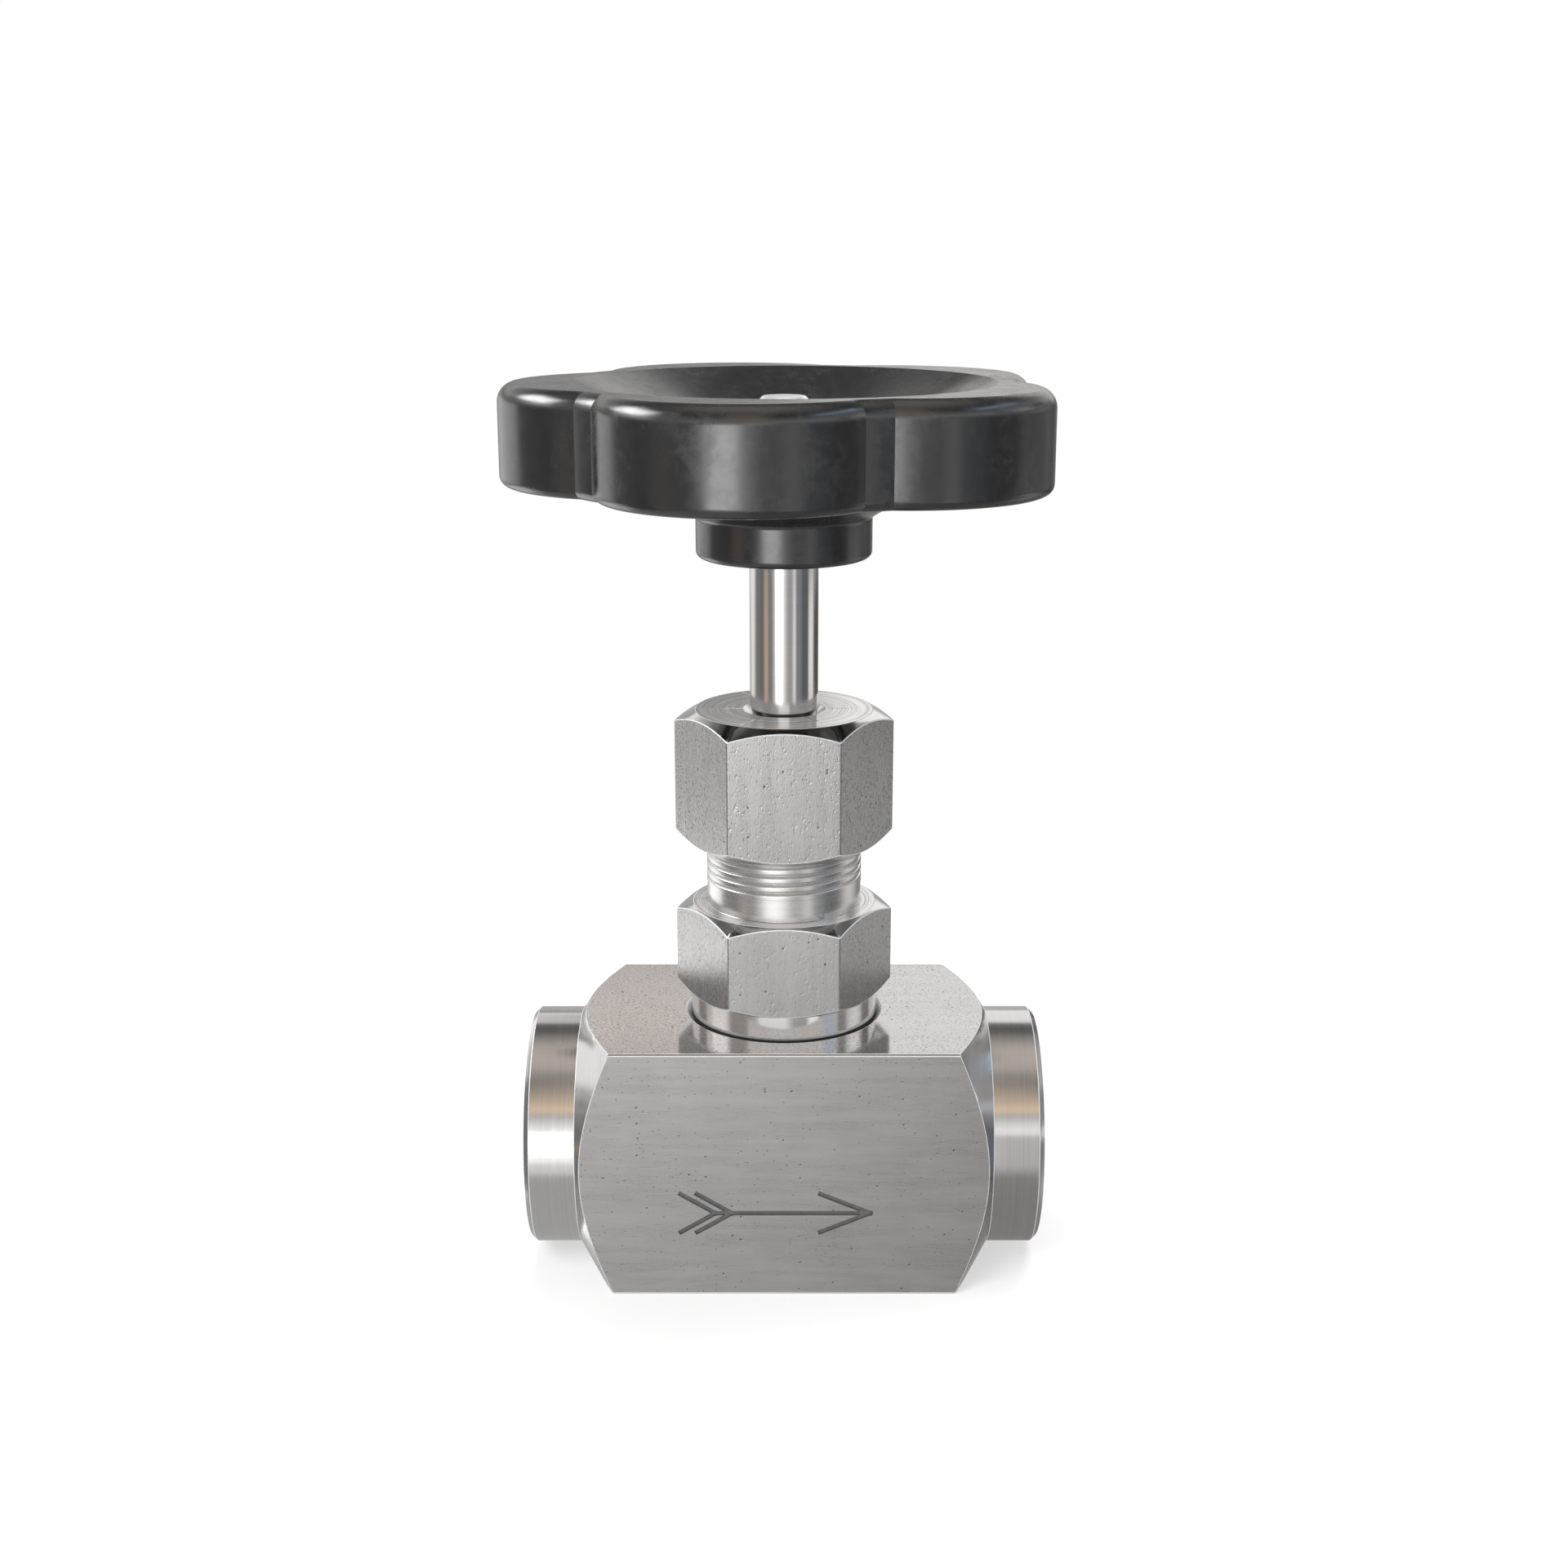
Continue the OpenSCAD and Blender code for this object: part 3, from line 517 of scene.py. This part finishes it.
bonnet = Section(HEX_COLUMNS)
for radius, height in (
    (BONNET_PLUG_R, BONNET_LOW),
    (SCREW_BORE_R, BONNET_LOW),
    (SCREW_BORE_R, SCREW_BORE_TOP),
    (NECK_BORE_R, NECK_BORE_LOW),
    (NECK_BORE_R, PACKING_FLOOR),
    (PACKING_BORE_R, PACKING_FLOOR),
    (PACKING_BORE_R, BONNET_TOP),
    (THREAD_ROOT_R, BONNET_TOP),
    (THREAD_ROOT_R, THREAD_SHOWN + THREAD_START),
):
    bonnet.circle(radius, height, TURNED)
thread_rows = round((THREAD_SHOWN - THREAD_LOW) / THREAD_PITCH * THREAD_ROWS_PER_TURN)
for row in range(thread_rows, -1, -1):
    height = THREAD_LOW + (THREAD_SHOWN - THREAD_LOW) * row / thread_rows
    bonnet.add([(thread_radius(degrees, height), height) for degrees in HEX_COLUMNS], SHANK)
bonnet.circle(SHANK_R, THREAD_LOW - THREAD_END, SHANK)
shank_foot = (SHANK_R + SHANK_FILLET, BONNET_HEX_HIGH + SHANK_FILLET)
for radius, height in arc(*shank_foot, SHANK_FILLET, 180, 270, SHANK_FILLET_STEPS):
    bonnet.circle(radius, height, TURNED)
hexagon(bonnet, HEX_ACROSS, BONNET_HEX_LOW, BONNET_HEX_HIGH, COLLAR_R, BONNET_FACE_R)
bonnet.circle(COLLAR_R, BONNET_HEX_LOW - COLLAR_STEP, TURNED)
# Painted shade: the collar is dark from just above the body's upper face down to near its foot.
bonnet.circle(COLLAR_R, BODY_TOP + GAP_SHADE_RISE, DARK)
bonnet.circle(COLLAR_R, COLLAR_LOW + COLLAR_BREAK, TURNED)
bonnet.circle(COLLAR_R - COLLAR_BREAK, COLLAR_LOW, TURNED)
bonnet.circle(BONNET_PLUG_R, COLLAR_LOW, TURNED)
dressed(
    "bonnet_finished",
    skin("bonnet_finished", bonnet.rows, bonnet.kinds),
    [AXIS_TURNED, BONNET_FLAT, EDGE_HIGHLIGHT, GAP_SHADE, SHANK_TURNED],
    "valve",
    "bonnet",
)


# Handwheel

LOBES = 5
LOBE_R, LOBE_CENTRE_R, LOBE_ANGLE, DISC_R = 20.7, 19.6, -105.0, 34.3
LOBE_STEPS, DISC_STEPS = 44, 8
WHEEL_LOW, WHEEL_HIGH = 117.9, 132.2
TOP_ROUND, TOP_ROUND_END, TOP_ROUND_STEPS = 2.8, 72.0, 12
BOTTOM_ROUND, BOTTOM_ROUND_STEPS = 1.5, 6
DISH_R, DISH_FLOOR_R, DISH_FLOOR = 30.2, 11.0, 124.4
DISH_FOOT, DISH_FOOT_RISE, DISH_ROWS = 0.6, 0.25, 4
LIP_ROUND, LIP_ROUND_STEPS = 0.25, 5
HUB_R, HUB_LOW, HUB_WALL_HIGH = 12.7, 107.3, 113.3
HUB_ROUND, HUB_ROUND_STEPS = 1.0, 6
HUB_FILLET, HUB_FILLET_DROP, HUB_FILLET_END, HUB_FILLET_STEPS = 0.8, 0.5, 121, 4
WEB_R, WEB_EDGE_IN, WEB_EDGE_OUT = 20.36, 0.5, 0.3
GROOVE_IN_R, GROOVE_OUT_R, GROOVE_TOP = 22.0, 28.5, 121.4
GROOVE_BREAK, GROOVE_TAPER = 0.3, 0.65
INSERT_R = 8.04
MOULDING = 0


def rim_outline(inset):
    """Points (x, y) round a disc with five lobes, drawn in by the inset."""
    disc_r, lobe_r = DISC_R - inset, LOBE_R - inset
    crease = math.acos((disc_r**2 + LOBE_CENTRE_R**2 - lobe_r**2) / (2 * disc_r * LOBE_CENTRE_R))
    lobe_half = math.atan2(disc_r * math.sin(crease), disc_r * math.cos(crease) - LOBE_CENTRE_R)
    disc_half = math.pi / LOBES - crease
    points = []
    for lobe in range(LOBES):
        facing = math.radians(LOBE_ANGLE + 360 / LOBES * lobe)
        x, y = LOBE_CENTRE_R * math.cos(facing), LOBE_CENTRE_R * math.sin(facing)
        for step in range(LOBE_STEPS + 1):
            way = facing + lobe_half * (2 * step / LOBE_STEPS - 1)
            points.append((x + lobe_r * math.cos(way), y + lobe_r * math.sin(way)))
        for step in range(1, DISC_STEPS):
            way = facing + crease + 2 * disc_half * step / DISC_STEPS
            points.append((disc_r * math.cos(way), disc_r * math.sin(way)))
    return points


wheel = Section([math.degrees(math.atan2(y, x)) for x, y in rim_outline(0)])


def rim_row(inset, height):
    """One row that follows the lobes."""
    wheel.rows.append([(x, y, height) for x, y in rim_outline(inset)])
    wheel.kinds.append(MOULDING)


def groove_wall(edge, way):
    """Section of one wall of the groove under the rim, from its mouth up to its roof."""
    return [
        (edge, WHEEL_LOW),
        (edge + way * GROOVE_BREAK, WHEEL_LOW + GROOVE_BREAK),
        (edge + way * (GROOVE_BREAK + GROOVE_TAPER), GROOVE_TOP - GROOVE_BREAK),
        (edge + way * (2 * GROOVE_BREAK + GROOVE_TAPER), GROOVE_TOP),
    ]


dish_slope = math.degrees(math.atan2(WHEEL_HIGH - DISH_FLOOR, DISH_R - DISH_FLOOR_R))
lip_reach = LIP_ROUND * math.tan(math.radians(dish_slope / 2))
hub_foot = (HUB_R - HUB_ROUND, HUB_LOW + HUB_ROUND)
hub_head = (HUB_R + HUB_FILLET, HUB_WALL_HIGH - HUB_FILLET_DROP)
wheel_section = [(INSERT_R, HUB_LOW)]
wheel_section += arc(*hub_foot, HUB_ROUND, -90, 0, HUB_ROUND_STEPS)
wheel_section += arc(*hub_head, HUB_FILLET, 180, HUB_FILLET_END, HUB_FILLET_STEPS)
wheel_section += [(WEB_R - WEB_EDGE_IN, WHEEL_LOW - WEB_EDGE_OUT), (WEB_R + WEB_EDGE_OUT, WHEEL_LOW)]
wheel_section += groove_wall(GROOVE_IN_R, 1)
wheel_section += reversed(groove_wall(GROOVE_OUT_R, -1))
for radius, height in wheel_section:
    wheel.circle(radius, height, MOULDING)
for step in range(BOTTOM_ROUND_STEPS + 1):
    way = math.radians(90 * step / BOTTOM_ROUND_STEPS)
    rim_row(BOTTOM_ROUND * (1 - math.sin(way)), WHEEL_LOW + BOTTOM_ROUND * (1 - math.cos(way)))
top_round_low = WHEEL_HIGH - TOP_ROUND * math.sin(math.radians(TOP_ROUND_END))
for step in range(TOP_ROUND_STEPS + 1):
    way = math.radians(TOP_ROUND_END * step / TOP_ROUND_STEPS)
    rim_row(TOP_ROUND * (1 - math.cos(way)), top_round_low + TOP_ROUND * math.sin(way))
lip = (DISH_R + lip_reach, WHEEL_HIGH - LIP_ROUND)
for radius, height in arc(*lip, LIP_ROUND, 90, 90 + dish_slope, LIP_ROUND_STEPS):
    wheel.circle(radius, height, MOULDING)
for row in range(1, DISH_ROWS):
    share = row / DISH_ROWS
    radius = DISH_R + (DISH_FLOOR_R - DISH_R) * share
    wheel.circle(radius, WHEEL_HIGH + (DISH_FLOOR - WHEEL_HIGH) * share, MOULDING)
wheel.circle(DISH_FLOOR_R + DISH_FOOT, DISH_FLOOR + DISH_FOOT_RISE, MOULDING)
wheel.circle(DISH_FLOOR_R - DISH_FOOT, DISH_FLOOR, MOULDING)
wheel.circle(INSERT_R, DISH_FLOOR, MOULDING)
dressed(
    "handwheel_moulding",
    skin("handwheel_moulding", wheel.rows, wheel.kinds),
    [PLASTIC],
    "spindle",
    "handwheel",
    sharp=16,
)


# Pieces that keep the CAD shape: three are joined up, and two of these have their edges broken

JOIN_DISTANCE = 0.0001 * MM
FLAT_TURN, SHARP_TURN = math.radians(0.05), math.radians(25)
NEAR_FLAT, ON_FLAT = 0.05, 0.01
SQUARE_ON = 0.999
PORT_EDGE_R, SEAT_EDGE_R = 12.0, 14.5
SEAT_RIM_R, SEAT_RIM_LOW = 15.0, 36.0
ARROW_REACH, ARROW_LOW, ARROW_HIGH, ARROW_DEPTH = 17.0, 8.0, 18.5, 0.4
SCREW_HEAD_LOW = 126.7
BODY_BREAK, ARROW_BREAK, SCREW_BREAK = 0.14, 0.08, 0.12


def cad_shape(node):
    """A copy of the node's own mesh, joined up and with flat faces in one piece."""
    shape = bmesh.new()
    shape.from_mesh(nodes[node].data)
    bmesh.ops.remove_doubles(shape, verts=shape.verts, dist=JOIN_DISTANCE)
    bmesh.ops.dissolve_limit(shape, angle_limit=FLAT_TURN, verts=shape.verts, edges=shape.edges)
    return shape


def break_edges(shape, chosen, width, kind):
    """Rounds the chosen sharp edges and gives the new faces their own material."""
    edges = [
        edge
        for edge in shape.edges
        if edge.is_manifold and edge.calc_face_angle() > SHARP_TURN and chosen(edge)
    ]
    bmesh.ops.bevel(
        shape,
        geom=edges,
        offset=width * MM,
        offset_type="OFFSET",
        segments=2,
        profile=0.5,
        affect="EDGES",
        clamp_overlap=True,
        material=kind,
    )


def mesh_of(shape, name):
    """Turns the shape into a mesh without the normals that came with the CAD node."""
    mesh = bpy.data.meshes.new(name)
    shape.to_mesh(mesh)
    shape.free()
    if "custom_normal" in mesh.attributes:
        mesh.attributes.remove(mesh.attributes["custom_normal"])
    return mesh


def on_arrow(point):
    """True in the part of the front face that holds the engraved lines."""
    in_height = ARROW_LOW < point.z < ARROW_HIGH
    return point.y < -FLAT_Y + ARROW_DEPTH and abs(point.x) < ARROW_REACH and in_height


def arrow_edge(edge):
    """The rim of the engraved lines, in the plane of the front face."""
    ends = [vert.co / MM for vert in edge.verts]
    return all(on_arrow(end) and end.y < -FLAT_Y + ON_FLAT for end in ends)


def body_edge(edge):
    """Outer edges of the body: not the ports' threads, not the bores, not the arrow."""
    middle = (edge.verts[0].co + edge.verts[1].co) / 2 / MM
    from_pipe = math.hypot(middle.y, middle.z - PIPE_Z)
    from_axis = math.hypot(middle.x, middle.y)
    in_bonnet_seat = from_axis < SEAT_EDGE_R and middle.z > PIPE_Z
    return from_pipe > PORT_EDGE_R and not on_arrow(middle) and not in_bonnet_seat


def body_kind(face):
    """Material of a face of the body."""
    middle, normal = face.calc_center_median() / MM, face.normal
    if abs(normal.y) > SQUARE_ON and abs(middle.y) > FLAT_Y - NEAR_FLAT:
        return FLAT
    if abs(normal.z) > SQUARE_ON and abs(middle.z - PIPE_Z) > FLAT_Y - NEAR_FLAT:
        return UPPER if normal.z > 0 else FLAT
    if math.hypot(middle.x, middle.y) < SEAT_RIM_R and middle.z > SEAT_RIM_LOW:
        return WORN_HIGHLIGHT
    return DARK if on_arrow(middle) else TURNED


def screw_head_edge(edge):
    """Edges of the chamfer and the top of the screw's head, not its upright corners or its lower rim."""
    return edge.verts[0].co.z > SCREW_HEAD_LOW * MM


body = cad_shape("valve_body")
for face in body.faces:
    face.material_index = body_kind(face)
break_edges(body, body_edge, BODY_BREAK, WORN_HIGHLIGHT)
break_edges(body, arrow_edge, ARROW_BREAK, DARK)
dressed(
    "valve_body_finished",
    mesh_of(body, "valve_body_finished"),
    [BODY_TURNED, BODY_FLAT, EDGE_HIGHLIGHT, ENGRAVED, BODY_UPPER],
    "valve",
    "valve_body",
)

screw = cad_shape("wheel_screw")
for face in screw.faces:
    face.material_index = 0
break_edges(screw, screw_head_edge, SCREW_BREAK, 0)
dressed(
    "wheel_screw_finished",
    mesh_of(screw, "wheel_screw_finished"),
    [BRIGHT_ZINC],
    "spindle",
    "wheel_screw",
)

dressed(
    "thrust_ball_finished",
    mesh_of(cad_shape("thrust_ball"), "thrust_ball_finished"),
    [BRIGHT_ZINC],
    "spindle",
    "thrust_ball",
)

NODE_FINISH = {
    "spindle": POLISHED,
    "needle": POLISHED,
    "needle_pins": BRIGHT_ZINC,
    "wheel_insert": BRASS,
    "wheel_washer": BRIGHT_ZINC,
    "wheel_spring_washer": BRIGHT_ZINC,
    "gland_slip_washer": BRIGHT_ZINC,
    "gland_follower": BRASS,
    "packing_upper_adapter": BRIGHT_ZINC,
    "packing_lower_adapter": BRIGHT_ZINC,
    "packing_ring_upper": SEAL,
    "packing_ring_third": SEAL,
    "packing_ring_second": SEAL,
    "packing_ring_lower": SEAL,
    "bonnet_gasket": SEAL,
}
for name, material in NODE_FINISH.items():
    nodes[name].material_slots[0].material = material


# Stage: white floor, a studio tent that only glossy rays see, lamps, world and camera

# Lengths here are in metres, those of the shadow, the lens and the sensor in mm, and the dip in radians.
FLOOR_R, FLOOR_SIDES, FLOOR_WHITE = 4.0, 96, 0.97
SHADOW_FULL, SHADOW_GONE, SHADOW_SHARE = 90.0, 320.0, 0.45
TENT_R, TENT_Z = 0.9, 0.06
WORLD_ON_OBJECT, WORLD_SEEN = 0.6, 1.0
CAMERA_PLACE, CAMERA_DIP = (0, -0.30314, 0.15530), 0.2641
CAMERA_LENS, CAMERA_SENSOR, CAMERA_NEAR = 48.668, 36.0, 0.01

# Shades of the tent by direction: degrees round from the front, with left negative, and degrees up.
BACK_GLOW = (0.62, 0.59, 0.57)
ZENITH = (0.66, 0.60, 0.55)
HORIZON = (
    (-180, BACK_GLOW), (-165, 0.40), (-150, 0.62), (-122, 0.66), (-107, 0.24), (-76, 0.16),
    (-67, 0.29), (-56, 0.28), (-46, 0.20), (-35, 0.42), (-26, 1.1), (-6, 1.2), (2, 0.85),
    (12, 0.40), (26, 0.38), (34, 0.70), (43, 0.26), (56, (0.22, 0.24, 0.28)), (66, 0.13), (88, 0.13),
    (98, 0.38), (106, 0.58), (119, 0.62), (143, 0.14), (160, 0.34), (180, BACK_GLOW),
)
VAULT_FRONT = (
    (10, 1.2), (20, 0.85), (27, 0.50), (33, (0.95, 0.72, 0.50)), (40, (0.70, 0.56, 0.43)),
    (56, (0.50, 0.43, 0.36)), (68, (0.40, 0.36, 0.32)), (80, (0.62, 0.56, 0.50)), (90, ZENITH),
)
VAULT_ROUND = (
    (7, 0.50), (13, 0.34), (16, 0.40), (19, (0.92, 0.88, 0.85)), (22, (0.92, 0.88, 0.85)), (25, 0.70),
    (30, 0.50), (36, 0.40), (42, 0.20), (48, 0.11), (56, 0.15), (66, (0.34, 0.32, 0.30)),
    (75, (0.55, 0.50, 0.46)), (90, ZENITH),
)
GROUND_LEFT, GROUND_RIGHT = 0.44, (0.26, 0.25, 0.25)
FRONT_FADE, VAULT_FADE, GROUND_FADE = (11.0, 24.0), (6.0, 13.0), (-12.0, 14.0)
FOOT, FOOT_SOFT, FOOT_DROP, FOOT_DROP_FADE = -34.0, 15.0, -10.0, (32.0, 60.0)
# Each panel has its middle, half its size, its shade and the softness of its edges.
PANELS = (
    # Large soft boxes and flags
    ((-16, 0), (11, 10), 3.3, (4, 2)),
    ((-132, 1), (20, 8), 1.1, (4, 4)),
    ((-128, -27), (20, 10), 1.55, (4, 2)),
    ((86, 44), (27, 4), (0.9, 1.15, 1.5), (4, 2)),
    ((163, 24), (16, 15), (1.0, 0.99, 0.98), (2, 2)),
    ((114, 0), (16, 6), (0.26, 0.26, 0.27), (5, 1.5)),
    # Behind, for the sides of the dish
    ((-168, 31), (5, 9), (0.75, 0.72, 0.70), (2, 2)),
    ((-177, 31), (4.5, 8), 0.14, (1.5, 2)),
    # Bands in the spindle
    ((-128, -9.4), (10, 2.5), (0.92, 0.90, 0.88), (5, 0.6)),
    ((-62, -10), (7, 4), (0.58, 0.42, 0.30), (3, 1)),
    ((35, -9.4), (4, 2.5), 0.95, (3, 0.6)),
    ((101, -9.4), (11, 2.5), (0.95, 0.94, 0.93), (4, 0.6)),
    ((140, -9.4), (22, 2.5), (0.10, 0.09, 0.08), (4, 0.6)),
    # Bands in the bonnet's collar, the last seven by way of the body's upper face
    ((-15, -22.5), (14, 4), (0.80, 0.79, 0.79), (4, 2)),
    ((36, -22.5), (6, 4), (0.95, 0.94, 0.93), (3, 2)),
    ((-122, 22.5), (10, 4), (0.25, 0.24, 0.23), (4, 2)),
    ((-88, 22.5), (12, 4), (1.6, 1.58, 1.56), (5, 2)),
    ((-58, 22.5), (13, 4), (0.40, 0.38, 0.36), (4, 2)),
    ((58, 22.5), (9, 4), (0.66, 0.75, 0.88), (3, 2)),
    ((77, 22.5), (7, 4), 0.30, (3, 2)),
    ((98, 22.5), (8, 4), 1.15, (4, 2)),
    ((122, 22.5), (10, 4), 0.15, (4, 2)),
    # High box at the left, for the handwheel's edge
    ((-102, 37), (20, 9), 8.0, (8, 5)),
)
FIRST_LIMIT, LATER_LIMIT = 10.0, 1.4


def staged(name, mesh, material):
    """Puts a mesh on the stage, away from the object's own pieces."""
    made = bpy.data.objects.new(name, mesh)
    bpy.context.scene.collection.objects.link(made)
    mesh.materials.append(material)
    return made


def floor_material():
    """White floor that keeps a soft shadow near the object and fades to plain white."""
    s = Shader("floor_white")
    x, y = s.parts(s.place())[:2]
    share = s.step(s.hypot(x, y), SHADOW_FULL, SHADOW_GONE, SHADOW_SHARE, 0.0)
    glow = s.add("Emission", rgba(1.0), 1.0)
    lit = s.add("BsdfDiffuse", rgba(FLOOR_WHITE))
    return s.surface(s.add("MixShader", share, glow, lit))


def tent_material():
    """Studio surround, shaded by direction: horizon, vault and ground, with panels laid over them."""
    s = Shader("studio_tent")
    direction = s.add("VectorMath", s.add("TexCoord").outputs["Object"], operation="NORMALIZE")
    x, y, z = s.parts(direction)
    turn = s.math("DEGREES", s.math("ARCTAN2", x, s.math("MULTIPLY", y, -1.0)))
    rise = s.math("DEGREES", s.math("ARCSINE", z))

    def off(value, centre):
        return s.math("ABSOLUTE", s.math("SUBTRACT", value, centre))

    def shades(value, span, stops):
        """Ramp over degrees that run from minus span to span."""
        share = s.math("MULTIPLY_ADD", value, 0.5 / span, 0.5)
        return s.ramp(share, [((degrees + span) / span / 2, shade) for degrees, shade in stops])

    def panel(base, middle, reach, shade, soft):
        wide = s.step(off(turn, middle[0]), reach[0] + soft[0], reach[0] - soft[0])
        tall = s.step(off(rise, middle[1]), reach[1] + soft[1], reach[1] - soft[1])
        return s.mix(s.math("MULTIPLY", wide, tall), base, rgba(shade))

    aside = off(turn, 0.0)
    front, around = shades(rise, 90, VAULT_FRONT), shades(rise, 90, VAULT_ROUND)
    vault = s.mix(s.step(aside, *FRONT_FADE), front, around)
    colour = s.mix(s.step(rise, *VAULT_FADE), shades(turn, 180, HORIZON), vault)
    ground = s.mix(s.step(turn, *GROUND_FADE), rgba(GROUND_LEFT), rgba(GROUND_RIGHT))
    foot = s.math("MULTIPLY_ADD", s.step(aside, *FOOT_DROP_FADE), FOOT_DROP, FOOT)
    colour = s.mix(s.step(rise, foot, s.math("ADD", foot, FOOT_SOFT)), ground, colour)
    for middle, reach, shade, soft in PANELS:
        colour = panel(colour, middle, reach, shade, soft)

    # What is seen by way of a second reflection is dimmed, so that steel facing steel isn't blown out.
    bounces = s.add("LightPath").outputs["Glossy Depth"]
    limit = s.step(bounces, 1.0, 2.0, FIRST_LIMIT, LATER_LIMIT)
    colour = s.add("VectorMath", colour, limit, operation="MINIMUM")
    material = s.surface(s.add("Emission", colour, 1.0))
    material.cycles.emission_sampling = "NONE"
    return material


def disc(name, radius, sides):
    mesh = bpy.data.meshes.new(name)
    turns = [2 * math.pi * side / sides for side in range(sides)]
    ring = [(radius * math.cos(turn), radius * math.sin(turn), 0) for turn in turns]
    mesh.from_pydata(ring, [], [tuple(range(sides))])
    return mesh


floor = staged("floor", disc("floor", FLOOR_R, FLOOR_SIDES), floor_material())
floor.visible_glossy = False

tent_mesh = bpy.data.meshes.new("studio_tent")
tent_shape = bmesh.new()
bmesh.ops.create_icosphere(tent_shape, subdivisions=5, radius=TENT_R)
tent_shape.to_mesh(tent_mesh)
tent_shape.free()
tent = staged("studio_tent", tent_mesh, tent_material())
tent.location = (0, 0, TENT_Z)
tent.visible_camera = False
tent.visible_diffuse = False
tent.visible_transmission = False
tent.visible_shadow = False
tent.visible_volume_scatter = False


def lamp(name, place, size, watts):
    """Round soft box, aimed at the middle of the object. Metal sees the tent instead of it."""
    light = bpy.data.lights.new(name, "AREA")
    light.shape = "DISK"
    light.size = size
    light.energy = watts
    made = bpy.data.objects.new(name, light)
    made.location = place
    aim_x, aim_y, aim_z = -place[0], -place[1], TENT_Z - place[2]
    yaw = math.atan2(aim_x, -aim_y)
    pitch = math.atan2(math.hypot(aim_x, aim_y), -aim_z)
    made.rotation_euler = (pitch, 0, yaw + math.pi)
    made.visible_glossy = False
    bpy.context.scene.collection.objects.link(made)


lamp("key_softbox", (-0.45, -0.70, 0.80), size=0.6, watts=9.0)
lamp("top_softbox", (0.15, 0.25, 1.10), size=0.8, watts=9.0)


def studio_world():
    """White where it is seen or reflected, and dimmer as light on the object."""
    s = Shader("studio", bpy.data.worlds)
    path = s.add("LightPath").outputs
    seen = s.math("MAXIMUM", path["Is Camera Ray"], path["Is Glossy Ray"])
    seen = s.math("MAXIMUM", seen, path["Is Transmission Ray"])
    strength = s.add("MapRange", seen, 0.0, 1.0, WORLD_ON_OBJECT, WORLD_SEEN)
    return s.surface(s.add("Background", rgba(1.0), strength), "OutputWorld")


bpy.context.scene.world = studio_world()

camera_data = bpy.data.cameras.new("camera")
camera_data.lens = CAMERA_LENS
camera_data.sensor_width = CAMERA_SENSOR
camera_data.clip_start = CAMERA_NEAR
camera = bpy.data.objects.new("camera", camera_data)
camera.location = CAMERA_PLACE
camera.rotation_euler = (math.pi / 2 - CAMERA_DIP, 0, 0)
bpy.context.scene.collection.objects.link(camera)
bpy.context.scene.camera = camera

bpy.context.scene.view_settings.view_transform = "Standard"
